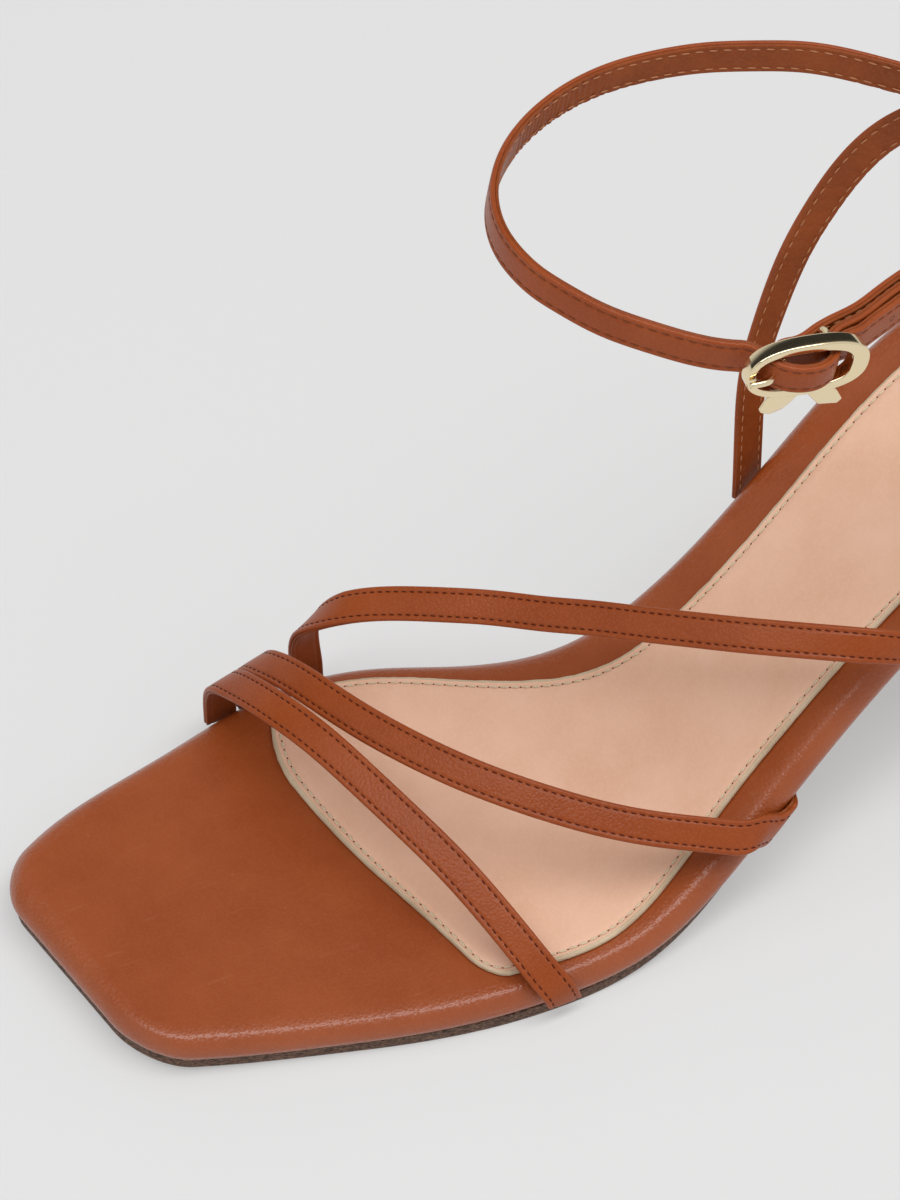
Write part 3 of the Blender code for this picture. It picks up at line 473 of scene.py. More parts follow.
def leather(name, deep, hide, crown_sheen, pore, relief, rough, coat, worn=0.0, polish=0.28, shine=0.5):
    """Grained hide: clouds of deep and plain colour up to 14 mm wide, pores as cells, fine wrinkles between
    them, and gloss that varies with the clouds. The third, paler colour is mixed in on the crowns of the
    cells as a painted highlight, and the valleys between them keep the deeper colour as painted shade. The
    attribute grain raises or calms the relief. worn adds pale flecks and short scratches, polish is the
    roughness of the finish coat, and shine the level of the hide's own reflection."""
    mat, tree, shader = finish_of(name, Coat_Weight=coat, Coat_Roughness=polish, IOR=1.46,
                                  Specular_IOR_Level=shine)
    spot = add(tree, "TexCoord").outputs["Object"]
    cloud = add(tree, "TexNoise", {"Scale": per(14.0), "Detail": 4.0, "Roughness": 0.6}, {"Vector": spot})
    cell = add(tree, "TexVoronoi", {"Scale": per(pore), "Randomness": 1.0}, {"Vector": spot})
    fine = add(tree, "TexNoise", {"Scale": per(pore * 0.7), "Detail": 3.0}, {"Vector": spot})
    patch = add(tree, "MapRange", {"From Min": 0.3, "From Max": 0.7}, {"Value": cloud.outputs["Fac"]})
    body = add(tree, "Mix", {6: tone(deep), 7: tone(hide)}, {0: patch.outputs[0]}, data_type="RGBA")
    # Painted highlight and shade: the paler colour is mixed in up to a quarter on the cell crowns, and the
    # valleys between them stay darker
    crown = add(tree, "MapRange", {"From Min": 0.1, "From Max": 0.6, "To Min": 0.25, "To Max": 0.0},
                {"Value": cell.outputs["Distance"]})
    skin = add(tree, "Mix", {7: tone(crown_sheen)}, {0: crown.outputs[0], 6: body.outputs[2]}, data_type="RGBA")
    if worn:
        speck = add(tree, "TexVoronoi", {"Scale": per(5.5), "Randomness": 1.0}, {"Vector": spot})
        dot = add(tree, "MapRange", {"From Min": 0.03, "From Max": 0.05, "To Min": worn, "To Max": 0.0},
                  {"Value": speck.outputs["Distance"]})
        lie = add(tree, "Mapping", {"Rotation": (0.0, 0.0, 0.5), "Scale": (0.09, 1.0, 1.0)},
                  {"Vector": spot})
        streak = add(tree, "TexNoise", {"Scale": per(1.3), "Detail": 1.0}, {"Vector": lie.outputs[0]})
        scratch = add(tree, "MapRange", {"From Min": 0.7, "From Max": 0.76, "To Max": 0.55 * worn},
                      {"Value": streak.outputs["Fac"]})
        mark = add(tree, "Math", {}, {0: dot.outputs[0], 1: scratch.outputs[0]}, operation="MAXIMUM")
        skin = add(tree, "Mix", {7: tone("#d9a888")}, {0: mark.outputs[0], 6: skin.outputs[2]},
                   data_type="RGBA")
    gloss = add(tree, "MapRange", {"To Min": rough - 0.07, "To Max": rough + 0.07},
                {"Value": cloud.outputs["Fac"]})
    height = add(tree, "Math", {1: 0.6}, {0: fine.outputs["Fac"], 2: cell.outputs["Distance"]},
                 operation="MULTIPLY_ADD")
    lively = add(tree, "Attribute", attribute_name="grain")
    push = add(tree, "Math", {1: relief}, {0: lively.outputs["Fac"]}, operation="MULTIPLY")
    bump = add(tree, "Bump", {"Distance": pore * 0.12 * MM},
               {"Height": height.outputs[0], "Strength": push.outputs[0]}, invert=True)
    tree.links.new(skin.outputs[2], shader.inputs["Base Color"])
    tree.links.new(gloss.outputs[0], shader.inputs["Roughness"])
    tree.links.new(bump.outputs[0], shader.inputs["Normal"])
    tree.links.new(bump.outputs[0], shader.inputs["Coat Normal"])
    return mat


# Aniline calf, plated to a satin: fine pebble grain that glitters where a strap faces the light
strap_calf = leather("aniline_calf_strap", "#8e3d0f", "#9b481a", "#aa5c30", pore=0.55, relief=0.85,
                     rough=0.38, coat=0.05, shine=0.3)
# The same calf stretched over the footbed board under a finish coat, its grain pulled nearly flat: an even
# satin, a narrow bright line along the roll, a few flecks
wrap_calf = leather("aniline_calf_stretched", "#944315", "#9f4d1f", "#a8572d", pore=0.6, relief=0.36,
                    rough=0.45, coat=0.8, worn=0.07, polish=0.26, shine=0.3)
# Thin calf lining, unplated: flatter and a little darker
lining_calf = leather("calf_lining", "#7c380f", "#934719", "#a05a2b", pore=0.7, relief=0.45, rough=0.45,
                      coat=0.0, shine=0.3)
# Vegetable-tanned sock leather, undyed and matt
sock_hide = leather("undyed_sock_leather", "#e8b899", "#f1c4a8", "#f6cdb5", pore=0.8, relief=0.15,
                    rough=0.55, coat=0.0)
# Cut edge of the sock leather: pale, napped fibres
cut_edge = leather("cut_leather_edge", "#b89f80", "#dcc6a8", "#ecdcc4", pore=0.35, relief=1.0, rough=0.85,
                   coat=0.0)

# Compressed leather board cut on its edge: dark brown with paler fibre ends
sole_edge, tree, shader = finish_of("cut_sole_board", Roughness=0.75)
spot = add(tree, "TexCoord").outputs["Object"]
flat = add(tree, "Mapping", {"Scale": (1.0, 1.0, 3.0)}, {"Vector": spot})
fibre = add(tree, "TexNoise", {"Scale": per(0.9), "Detail": 5.0, "Roughness": 0.75},
            {"Vector": flat.outputs[0]})
ends = add(tree, "MapRange", {"From Min": 0.42, "From Max": 0.68}, {"Value": fibre.outputs["Fac"]})
shade = add(tree, "Mix", {6: tone("#331d12"), 7: tone("#94705a")}, {0: ends.outputs[0]}, data_type="RGBA")
nap = add(tree, "Bump", {"Strength": 0.8, "Distance": 0.1 * MM}, {"Height": fibre.outputs["Fac"]})
tree.links.new(shade.outputs[2], shader.inputs["Base Color"])
tree.links.new(nap.outputs[0], shader.inputs["Normal"])


def thread(name, code, rough):
    """Bonded polyester thread: its plies as darker and paler specks, drawn coarse so that they show."""
    mat, tree, shader = finish_of(name, Roughness=rough, Specular_IOR_Level=0.15)
    spot = add(tree, "TexCoord").outputs["Object"]
    ply = add(tree, "TexNoise", {"Scale": per(0.35), "Detail": 2.0}, {"Vector": spot})
    dark = tuple(0.6 * c for c in tone(code)[:3]) + (1.0,)
    hue = add(tree, "Mix", {6: dark, 7: tone(code)}, {0: ply.outputs["Fac"]}, data_type="RGBA")
    tree.links.new(hue.outputs[2], shader.inputs["Base Color"])
    return mat


strap_thread = thread("red_brown_thread", "#5c1f0b", 0.6)
ankle_thread = thread("chestnut_thread", "#8a4a28", 0.6)
lining_thread = thread("pale_brown_thread", "#c4835c", 0.6)
sock_thread = thread("cream_thread", "#f0dcbc", 0.6)
# Dark brown of painted shade for the needle holes by the sock stitches and the punched holes in the tail,
# made with the thread finish
hole_shade = thread("needle_hole_shadow", "#6d4c38", 0.9)

# Pale gold plate on die-cast zinc, polished: a mirror with faint handling haze
gold_plate, tree, shader = finish_of("pale_gold_plate", Metallic=1.0, Base_Color=tone("#f1dfb8"))
spot = add(tree, "TexCoord").outputs["Object"]
haze = add(tree, "TexNoise", {"Scale": per(3.0), "Detail": 3.0}, {"Vector": spot})
wipe = add(tree, "MapRange", {"To Min": 0.05, "To Max": 0.16}, {"Value": haze.outputs["Fac"]})
tree.links.new(wipe.outputs[0], shader.inputs["Roughness"])

# Moulded rubber tip, matt with a fine spark texture
tip_rubber, tree, shader = finish_of("moulded_tip_rubber", Roughness=0.65, Base_Color=tone("#33261f"))
spot = add(tree, "TexCoord").outputs["Object"]
spark = add(tree, "TexNoise", {"Scale": per(0.5), "Detail": 2.0}, {"Vector": spot})
pit = add(tree, "Bump", {"Strength": 0.3, "Distance": 0.05 * MM}, {"Height": spark.outputs["Fac"]})
tree.links.new(pit.outputs[0], shader.inputs["Normal"])


# Footbed, outsole and sock

def toe_line(y):
    """Slanted toe: station of the front line, rising evenly with the side."""
    return TOE_LINE + TOE_SLANT * (np.asarray(y, float) - TOE_LINE_SIDE)


# Grids: rows at the front corners, along the sides and round the heel seat, then places across
BED_GRID = ((24, 150, 26), 61)
SOLE_GRID = ((20, 130, 0), 37)
SOCK_GRID = ((12, 130, 24), 41)
# Footbed edge, the calf rolled over the board with a shoulder inside it: inset, depth
FOOTBED_EDGE = (
    (4.8, 0.0), (3.6, 0.03), (3.0, 0.08), (2.6, 0.15), (2.25, 0.26), (1.95, 0.42), (1.6, 0.68), (1.2, 1.04),
    (0.82, 1.46), (0.48, 1.95), (0.2, 2.5), (0.05, 3.05), (0.0, 3.5), (0.06, 4.05), (0.28, 4.6), (0.7, 4.9),
    (1.2, 5.0),
)
# The grain opens where the calf is pulled round the roll
ROLL_GRAIN = 3.0
bed = [
    sunk(plan(i, *BED_GRID, inner_edge, outer_edge, toe_line, TOE_FADE, TOE_CORNERS), d)
    for i, d in FOOTBED_EDGE
]
places, faces = sheet(bed)[:2]
rolled = np.where(np.arange(len(places)) < bed[0][..., 0].size, 1.0, ROLL_GRAIN)
make("footbed_wrap", (places, faces), [wrap_calf], ["footbed"], grain=rolled)

# Outsole edge: inset, depth
SOLE_EDGE = (
    (0.35, 0.0), (0.08, 0.12), (0.0, 0.4), (0.05, 1.2), (0.0, 2.1), (0.12, 2.75), (0.5, OUTSOLE_THICK),
)


def sole_plan(inset):
    """Outsole outline: the footbed's edges less the tuck, with its front line set back."""
    corners = [c - SOLE_CORNER_LESS for c in TOE_CORNERS]
    return plan(inset, *SOLE_GRID, lambda s: inner_edge(s) + sole_tuck(s),
                lambda s: outer_edge(s) - sole_tuck(s), lambda y: toe_line(y) + SOLE_SET_BACK,
                TOE_FADE, corners, SOLE_END)


sole = [sunk(sole_plan(i), FOOTBED_THICK + GAP + d) for i, d in SOLE_EDGE]
make("outsole_board", sheet(sole), [sole_edge], ["outsole"])


def sock_plan(inset):
    """Sock outline: the footbed's edges less its margins, with its own front line."""
    return plan(inset, *SOCK_GRID, lambda s: inner_edge(s) + sock_inner(s),
                lambda s: outer_edge(s) - sock_outer(s), sock_front, SOCK_FADE, SOCK_CORNERS)


SOCK_LIFT = GAP + SOCK_THICK
rng = np.random.default_rng(7)
# Sock edge: inset, depth. The stitch line pulls a shallow groove
SOCK_PROFILE = (
    (2.9, 0.0), (2.1, 0.06), (1.7, 0.2), (1.45, 0.28), (1.2, 0.2), (0.95, 0.08), (0.65, 0.03), (0.35, 0.06),
    (0.12, 0.2), (0.0, 0.42), (-0.05, 0.8), (0.0, SOCK_THICK),
)
# Cut fibres stand about a tenth of a millimetre out of three rows of the edge
FRAYED = (8, 9, 10)
FIBRE = 0.045
CUT_FROM = 6               # ring of edge faces, from the top, where the cut edge starts
layers = [sunk(sock_plan(i), d - SOCK_LIFT) for i, d in SOCK_PROFILE]
for k in FRAYED:
    layers[k] = layers[k] + rng.normal(0, FIBRE, layers[k].shape)
places, faces, marks = sheet(layers)
ring_len = len(edge_loop(*layers[0].shape[:2]))
edge_at = np.flatnonzero(marks == 1)
sock_marks = np.zeros(len(marks), int)
sock_marks[edge_at[CUT_FROM * ring_len:]] = 1
make("sock_lining", (places, faces), [sock_hide, cut_edge], ["sock"], sock_marks)


# Sewing

def stitches(name, line, up, pitch, size, finish, slant=0.0, phase=1.0):
    """Row of stitches: each is an ellipsoid of half sizes (along, across, up), set every pitch along the
    line of places from a phase on, turned by slant in the surface. Four rings of places and two poles make
    one."""
    around = 6
    gaps = np.linalg.norm(np.diff(line, axis=0), axis=1)
    run = np.concatenate([[0], np.cumsum(gaps)])
    at = np.arange(pitch * phase, run[-1] - pitch * 0.6, pitch)

    def pick(v, r):
        """Rows of v at the runs r, straight from place to place of the line."""
        return np.stack([np.interp(r, run, v[:, k]) for k in range(3)], -1)

    middle = pick(line, at)
    head = pick(line, at + pitch * 0.4) - pick(line, at - pitch * 0.4)
    head /= np.linalg.norm(head, axis=1)[:, None]
    top = pick(up, at)
    top -= (top * head).sum(1)[:, None] * head
    top /= np.linalg.norm(top, axis=1)[:, None]
    side = np.cross(top, head)
    c = math.cos(slant)
    s = math.sin(slant)
    head, side = head * c + side * s, side * c - head * s
    theta = np.radians((28.0, 66.0, 114.0, 152.0))[:, None]
    phi = np.arange(around) * 2 * math.pi / around
    ball = np.stack([np.cos(theta) + 0 * phi, np.sin(theta) * np.cos(phi), np.sin(theta) * np.sin(phi)], -1)
    ball = np.concatenate([ball.reshape(-1, 3), [[1.0, 0, 0], [-1.0, 0, 0]]]) * np.array(size)
    axes = np.stack([head, side, top], 1)
    places = (middle[:, None] + np.einsum("vk,nkc->nvc", ball, axes)).reshape(-1, 3)
    pole = len(theta) * around
    idx = np.arange(pole).reshape(-1, around)
    idx = np.concatenate([idx, idx[:, :1]], 1)
    first = np.stack([idx[0, :-1], idx[0, 1:], np.full(around, pole)], -1)
    last = np.stack([idx[-1, 1:], idx[-1, :-1], np.full(around, pole + 1)], -1)
    start = (len(ball) * np.arange(len(at)))[:, None, None]
    quads = (grid_quads(idx)[None] + start).reshape(-1, 4)
    tris = (np.concatenate([first, last])[None] + start).reshape(-1, 3)
    make(name, (places, [quads, tris]), [finish])


groove = sunk(sock_plan(SOCK_STITCH_IN), SOCK_GROOVE - SOCK_LIFT)
loop = edge_loop(*groove.shape[:2])
sock_line = groove.reshape(-1, 3)[np.append(loop, loop[0])]
tip_a = slope(sock_line[:, 0])
sock_up = np.stack([-np.sin(tip_a), 0 * tip_a, np.cos(tip_a)], -1)
stitches("sock_stitches", sock_line + 0.1 * sock_up, sock_up, SOCK_PITCH, SOCK_STITCH, sock_thread,
         slant=0.06)
# A dark disc of painted shade for a needle hole, halfway between two stitches
stitches("sock_needle_hole_shade", sock_line - 0.02 * sock_up, sock_up, SOCK_PITCH, NEEDLE_HOLE, hole_shade,
         phase=1.5)


# Heel and its tip

def heel_ring(share, count=96):
    """Heel outline at each share of its height: a squared oval between breast and back."""
    share = np.atleast_1d(share)[:, None]
    ca, sa = squared(np.linspace(0, 2 * math.pi, count, endpoint=False), HEEL_POWER)
    front = heel_front(share)
    back = heel_back(share)
    return np.stack([(front + back) / 2 - ca * (back - front) / 2, heel_half(share) * sa + HEEL_SIDE], -1)


def seat_under(flat):
    """Height of the footbed's underside at the heel, less the gap."""
    drop = FOOTBED_THICK + GAP
    s = flat[..., 0] - drop * np.sin(slope(flat[..., 0]))
    return bed_top(s, flat[..., 1]) - drop * np.cos(slope(s))


# Heel cover: rows up its walls, then shares of the outline for the rows on its seat
HEEL_ROWS = 48
SEAT_SHARES = np.array((0.97, 0.7, 0.4, 0.1))
# Tip: share of the heel's outline, height
TIP = np.array((
    (0.6, 0.0), (0.93, 0.0), (0.985, 0.15), (1.0, 0.5), (1.0, 4.1), (0.985, 4.4), (0.94, TOP_PIECE),
    (0.5, TOP_PIECE),
))
share = np.linspace(0, 1, HEEL_ROWS)
flat = heel_ring(share)
low = TOP_PIECE + GAP
height = low + share[:, None] * (seat_under(flat) - low)
walls = np.concatenate([flat, height[..., None]], -1)
middle = flat[-1].mean(0)
inside = middle + (flat[-1] - middle) * SEAT_SHARES[:, None, None]
seat = np.concatenate([inside, seat_under(inside)[..., None]], -1)
make("heel_cover", tube(np.concatenate([walls, seat])), [wrap_calf], ["heel"])
tip = heel_ring(0.0)[0]
middle = tip.mean(0)
rim = middle + (tip - middle)[None] * TIP[:, :1, None]
rim = np.concatenate([rim, np.broadcast_to(TIP[:, 1, None, None], rim.shape[:2] + (1,))], -1)
make("heel_tip", tube(rim), [tip_rubber], ["heel_top_piece"])


# Straps; their section has round folded edges, a lining set in a little, a seam notch and stitch grooves
FOLD_RADIUS = 0.48
LIP_RADIUS = 0.3           # round edge of the lining
LINING_IN = 0.12
NOTCH_IN = 0.3
CROWN = 0.06
GROOVE_WIDE = 0.24
FACE_GROOVE = 0.17
LINING_GROOVE = 0.1
LINING_BELOW = -0.3        # the section's places lower than this are on the lining


def along(route, step):
    """Places, directions, run and further columns on a smooth line through the rows, a place at every step
    of its length, measured on 24000 samples. The further columns go straight from row to row."""
    pts = np.array(route, float)
    key = np.concatenate([[0], np.cumsum(np.linalg.norm(np.diff(pts[:, :3], axis=0), axis=1))])
    line = natural(key, pts[:, :3])
    fine = np.linspace(0, key[-1], 24000)
    run = np.concatenate([[0], np.cumsum(np.linalg.norm(np.diff(line(fine), axis=0), axis=1))])
    goal = np.linspace(0, run[-1], int(run[-1] / step) + 1)
    pick = np.interp(goal, run, fine)
    d = line(pick + 0.02) - line(pick - 0.02)
    more = np.array([np.interp(pick, key, column) for column in pts[:, 3:].T]).T
    return line(pick), d / np.linalg.norm(d, axis=1)[:, None], goal, more


def strap_section(thick):
    """Section of a folded and lined strap, as places across and outwards: a slightly crowned face with a
    groove at each stitch line, round folded edges, a seam notch in the side, and the flatter lining. Also
    gives 1 for each place whose face belongs to the lining."""
    w = STRAP_WIDTH / 2
    t = thick / 2
    flat = w - FOLD_RADIUS
    inner = w - LINING_IN - LIP_RADIUS

    def sewn(u):
        """Bell round each stitch line."""
        return np.exp(-((np.abs(u) - (w - STITCH_IN)) / GROOVE_WIDE) ** 2)

    u = np.linspace(-flat, flat, 33)
    face = np.stack([u, t + CROWN * (1 - (u / w) ** 2) - FACE_GROOVE * sewn(u)], -1)
    a = np.radians(np.linspace(75, -80, 9))
    turned = np.stack([flat + FOLD_RADIUS * np.cos(a), t - FOLD_RADIUS + FOLD_RADIUS * np.sin(a)], -1)
    notch = [[w - NOTCH_IN, t - 2 * FOLD_RADIUS + 0.05]]
    a = np.radians(np.linspace(60, -80, 6))
    lined = np.stack([inner + LIP_RADIUS * np.cos(a), -t + LIP_RADIUS + LIP_RADIUS * np.sin(a)], -1)
    u = np.linspace(inner, -inner, 29)
    back = np.stack([u, -t + LINING_GROOVE * sewn(u)], -1)
    near = np.concatenate([turned, notch, lined])
    far = near[::-1] * (-1, 1)
    section = np.concatenate([face, near, back, far])
    lining = np.zeros(len(section), int)
    lining[len(face) + len(turned):len(face) + len(near) + len(back) + len(lined) + 1] = 1
    return section, lining


def creases(run, across, rows):
    """Depth of cross creases: for each row (run, slant, depth, width) a bell-shaped furrow that crosses the
    strap on a slant, and their sum where they meet."""
    rows = np.array(rows, float).reshape(-1, 4)
    off = run[:, None, None] - rows[:, 0] - rows[:, 1] * across[None, :, None]
    return (rows[:, 2] * np.exp(-(off / rows[:, 3]) ** 2)).sum(-1)


def strap(name, route, outward=None, stands_for=(), thick=STRAP_THICK, step=0.45, inner_folds=(),
          pitch=FOOT_PITCH, yarn=strap_thread, lining_stitch=False, lively=None, squeeze=None, bulk=1.0):
    """Strap: its section carried along the route, its face turned to outward(places, directions) or to the
    facing columns of the rows, whose last column shears the section. inner_folds lists creases of the
    lining, lively lists (run share, grain), and squeeze(places) gives a share of the full width. bulk
    swells the stitches."""
    p, d, run, more = along(route, step)
    out = more[:, :3] * (-1, 1, 1) if outward is None else outward(p, d)
    out -= (out * d).sum(1)[:, None] * d
    out /= np.linalg.norm(out, axis=1)[:, None]
    side = np.cross(d, out)
    if outward is None:
        side += d * more[:, 3:]
    if squeeze is not None:
        side *= squeeze(p)[:, None]
    section, lining = strap_section(thick)
    v = np.broadcast_to(section[:, 1], (len(p), len(section))).copy()
    if inner_folds:
        v += creases(run, section[:, 0], inner_folds) * (section[:, 1] < LINING_BELOW)
    rings = p[:, None] + side[:, None] * section[:, :1] + out[:, None] * v[..., None]
    places, faces = tube(rings)
    marks = np.concatenate([np.tile(lining, len(p) - 1), np.zeros(2 * len(section), int)])
    grain = np.ones(len(places))
    if lively is not None:
        table = np.array(lively)
        grain[:-2] = np.repeat(np.interp(run / run[-1], table[:, 0], table[:, 1]), len(section))
    make(name, (places, faces), [strap_calf, lining_calf], stands_for, marks, grain)
    size = (pitch * STITCH_SHARE, STITCH_HALF[0] * bulk, STITCH_HALF[1] * bulk)
    for k, edge in enumerate((STRAP_WIDTH / 2 - STITCH_IN, STITCH_IN - STRAP_WIDTH / 2)):
        line = p + side * edge + out * (thick / 2 - STITCH_SUNK)
        stitches(f"{name}_stitches_{k}", line, out, pitch, size, yarn, slant=0.08)
        if lining_stitch:
            line = p + side * edge - out * (thick / 2 - LINING_SUNK)
            stitches(f"{name}_lining_stitches_{k}", line, -out, LINING_PITCH, LINING_STITCH, lining_thread,
                     slant=0.05)
    return p, d, out, side, run


def lifted(route):
    """Strap rows with the lift turned into a height."""
    rows = np.array(route, float)
    rows[:, 2] += rim_height(rows[:, 0])
    return rows


PLANE_UP = np.array([math.sin(TILT), 0.0, math.cos(TILT)])


def on_plane(s, y, rise=0.0):
    """Places on the tilted plane of the ankle strap, with a rise across the strap."""
    s, y, rise = np.broadcast_arrays(np.asarray(s, float), y, rise)
    z = ANKLE_HEIGHT + math.tan(TILT) * (ANKLE_STATION - s)
    return np.stack([s, y, z], -1) + rise[..., None] * PLANE_UP


def at_buckle(u, v, rise=0.0):
    """Places near the buckle: u along the strap to the rear, v outwards, rise across the strap."""
    u, v, rise = np.broadcast_arrays(np.asarray(u, float), v, rise)
    s = BUCKLE_STATION + u * math.cos(BUCKLE_TURN) - v * math.sin(BUCKLE_TURN)
    y = BUCKLE_SIDE + u * math.sin(BUCKLE_TURN) + v * math.cos(BUCKLE_TURN)
    return on_plane(s, y, rise)


def off_ankle(p, d):
    """Facing of a sling arm: away from an upright line inside the ankle."""
    return np.stack([p[:, 0] - SLING_AXIS, p[:, 1], 0 * p[:, 0]], -1)


def off_loop(p, d):
    """Facing of the ankle strap: square to its run, in the tilted plane."""
    return np.cross(PLANE_UP, d)


strap("toe_strap_front_calf", lifted(TOE_FRONT), stands_for=["toe_strap_front"],
      lively=((0.0, 0.5), (0.35, 0.6), (0.5, 1.3), (0.85, 1.3), (1.0, 0.7)))
strap("toe_strap_rear_calf", lifted(TOE_REAR), stands_for=["toe_strap_rear"],
      lively=((0.0, 0.5), (0.3, 0.6), (0.45, 1.3), (0.75, 1.3), (0.9, 0.7)))
strap("instep_strap_calf", lifted(INSTEP), stands_for=["instep_strap"],
      lively=((0.0, 0.5), (0.22, 0.6), (0.34, 1.5), (0.5, 2.0), (0.6, 1.3), (0.85, 0.7)))
ankle_route = np.concatenate([
    on_plane(*np.array(FOLD_BACK).T), at_buckle(*np.array(FOLD).T), on_plane(*np.array(ANKLE_LOOP).T),
    at_buckle(*np.array(PASS).T), on_plane(*np.array(TAIL).T),
])


SQUEEZE = 0.14             # share of the width that the buckle takes up
SQUEEZE_REACH = 8.5


def in_frame(p):
    """Share of the strap's width where the buckle squeezes it: a flat bell round the frame's middle."""
    off = np.linalg.norm(p - at_buckle(0.0, 0.0, BUCKLE_RISE), axis=1)
    return 1 - SQUEEZE * np.exp(-(off / SQUEEZE_REACH) ** 6)


# Creases in the lining where the strap bends: run along the strap, slant, depth, width
LINING_CREASES = (
    (131.0, -0.1, 0.1, 0.4), (132.7, 0.06, 0.14, 0.35), (134.5, -0.15, 0.16, 0.3), (135.9, 0.12, 0.2, 0.3),
    (137.2, -0.05, 0.16, 0.3), (138.6, 0.2, 0.18, 0.3), (139.8, -0.1, 0.22, 0.3), (141.3, 0.05, 0.16, 0.3),
    (142.6, 0.18, 0.2, 0.3), (144.1, -0.12, 0.17, 0.3), (145.2, 0.1, 0.2, 0.3), (146.9, -0.06, 0.15, 0.35),
    (148.6, 0.14, 0.14, 0.35), (151.1, -0.08, 0.15, 0.35), (152.5, 0.1, 0.12, 0.35), (155.2, 0.0, 0.1, 0.4),
    (190.5, 0.0, 0.08, 0.4), (194.6, 0.12, 0.1, 0.4), (197.6, -0.05, 0.12, 0.4), (200.1, 0.1, 0.14, 0.35),
    (202.6, -0.1, 0.18, 0.35), (204.6, 0.15, 0.14, 0.3), (206.3, 0.05, 0.2, 0.3), (207.9, -0.12, 0.18, 0.3),
    (209.3, 0.08, 0.22, 0.3), (210.8, 0.16, 0.2, 0.3), (212.1, -0.05, 0.24, 0.3), (213.6, 0.1, 0.2, 0.3),
    (214.8, -0.1, 0.24, 0.3), (216.2, 0.08, 0.22, 0.3), (217.4, -0.06, 0.24, 0.3), (218.8, 0.12, 0.2, 0.3),
    (220.0, 0.0, 0.24, 0.3), (221.3, -0.1, 0.2, 0.3), (222.5, 0.1, 0.22, 0.3), (223.8, -0.08, 0.18, 0.3),
    (225.1, 0.06, 0.2, 0.3), (226.5, 0.0, 0.16, 0.35), (228.2, 0.1, 0.12, 0.4),
)
# The same on the inner sling arm
SLING_CREASES = (
    (58.0, 0.3, 0.08, 0.4), (63.0, 0.4, 0.1, 0.4), (66.5, 0.35, 0.12, 0.35), (69.8, 0.5, 0.1, 0.4),
    (73.0, 0.4, 0.14, 0.35), (76.2, 0.45, 0.12, 0.35), (80.5, 0.3, 0.12, 0.4), (84.0, 0.4, 0.14, 0.35),
    (87.5, 0.25, 0.12, 0.4), (91.0, 0.35, 0.14, 0.35), (94.5, 0.3, 0.1, 0.4),
)
p, d, out, side, run = strap(
    "ankle_strap_calf", ankle_route, off_loop, stands_for=["ankle_strap"], step=0.36, pitch=ANKLE_PITCH,
    yarn=ankle_thread, lining_stitch=True, squeeze=in_frame, inner_folds=LINING_CREASES)
# Punched holes in the tail, about 7 mm apart, each drawn as a dark ring of painted shade: their stations,
# the length of the tail, and the section of a hole as radius and rise above the face
PUNCH = (147.4, 154.6)
TAIL_LENGTH = 32.0
PUNCH_RIM = np.array(((0.05, -0.1), (0.4, -0.1), (0.52, 0.03), (0.6, 0.025), (0.68, -0.06)))
tail_from = np.flatnonzero(run > run[-1] - TAIL_LENGTH)
at = tail_from[np.abs(p[tail_from, 0][:, None] - np.array(PUNCH)).argmin(0)]
a = np.linspace(0, 2 * math.pi, 24, endpoint=False)
rise = STRAP_THICK / 2 + CROWN + PUNCH_RIM[:, 1]
for k, i in enumerate(at):
    wheel = side[i] * np.cos(a)[:, None] + d[i] * np.sin(a)[:, None]
    rim = p[i] + wheel[None] * PUNCH_RIM[:, :1, None] + out[i] * rise[:, None, None]
    make(f"punched_hole_shade_{k}", tube(rim), [hole_shade])
strap("sling_inner_calf", SLING_INNER, off_ankle, thick=SLING_THICK, pitch=ANKLE_PITCH,
      yarn=lining_thread, lining_stitch=True, inner_folds=SLING_CREASES, bulk=1.4)
strap("sling_outer_calf", SLING_OUTER, off_ankle, thick=SLING_THICK, pitch=ANKLE_PITCH,
      yarn=ankle_thread, lining_stitch=True)


# Buckle

half_long = BUCKLE_LONG / 2
half_tall = BUCKLE_TALL / 2


def oval(a, middle, half_run, half_rise, power):
    """Squared oval at the angles a: squared cosine and sine times the half sizes."""
    ca, sa = squared(a, power)
    return np.stack([middle + half_run * ca, half_rise * sa], -1)


def cast_ring(count, radius, steps=6):
    """Cast frame: its section, a rectangle with rounded corners, is set across from the outer oval to the
    inner one at places spaced evenly round the outer oval."""
    a = np.linspace(0, 2 * math.pi, 6001)
    line = oval(a, 0.0, half_long, half_tall, FRAME_POWER)
    run = np.concatenate([[0], np.cumsum(np.linalg.norm(np.diff(line, axis=0), axis=1))])
    a = np.interp(np.linspace(0, run[-1], count, endpoint=False), run, a)
    rim = oval(a, 0.0, half_long, half_tall, FRAME_POWER)
    shift = (BUCKLE_ENDS[0] - BUCKLE_ENDS[1]) / 2
    hollow = oval(a, shift, half_long - sum(BUCKLE_ENDS) / 2, half_tall - BUCKLE_BAND, HOLLOW_POWER)
    wide = np.linalg.norm(hollow - rim, axis=1)[:, None]
    q = np.linspace(0, math.pi / 2, steps)
    arc = np.stack([np.cos(q), np.sin(q)], -1)
    arcs = np.concatenate([arc, arc[::-1] * (-1, 1), arc * (-1, -1), arc[::-1] * (1, -1)])
    way = np.repeat(((1, 1), (-1, 1), (-1, -1), (1, -1)), steps, axis=0)
    x = way[:, 0] * (wide / 2 - radius) + radius * arcs[:, 0]
    v = way[:, 1] * (BUCKLE_DEEP / 2 - radius) + radius * arcs[:, 1]
    flat = rim[:, None] + (hollow - rim)[:, None] * (0.5 - x / wide)[..., None]
    return tube(at_buckle(flat[..., 0], v + 0 * x, flat[..., 1] + BUCKLE_RISE), closed=True)


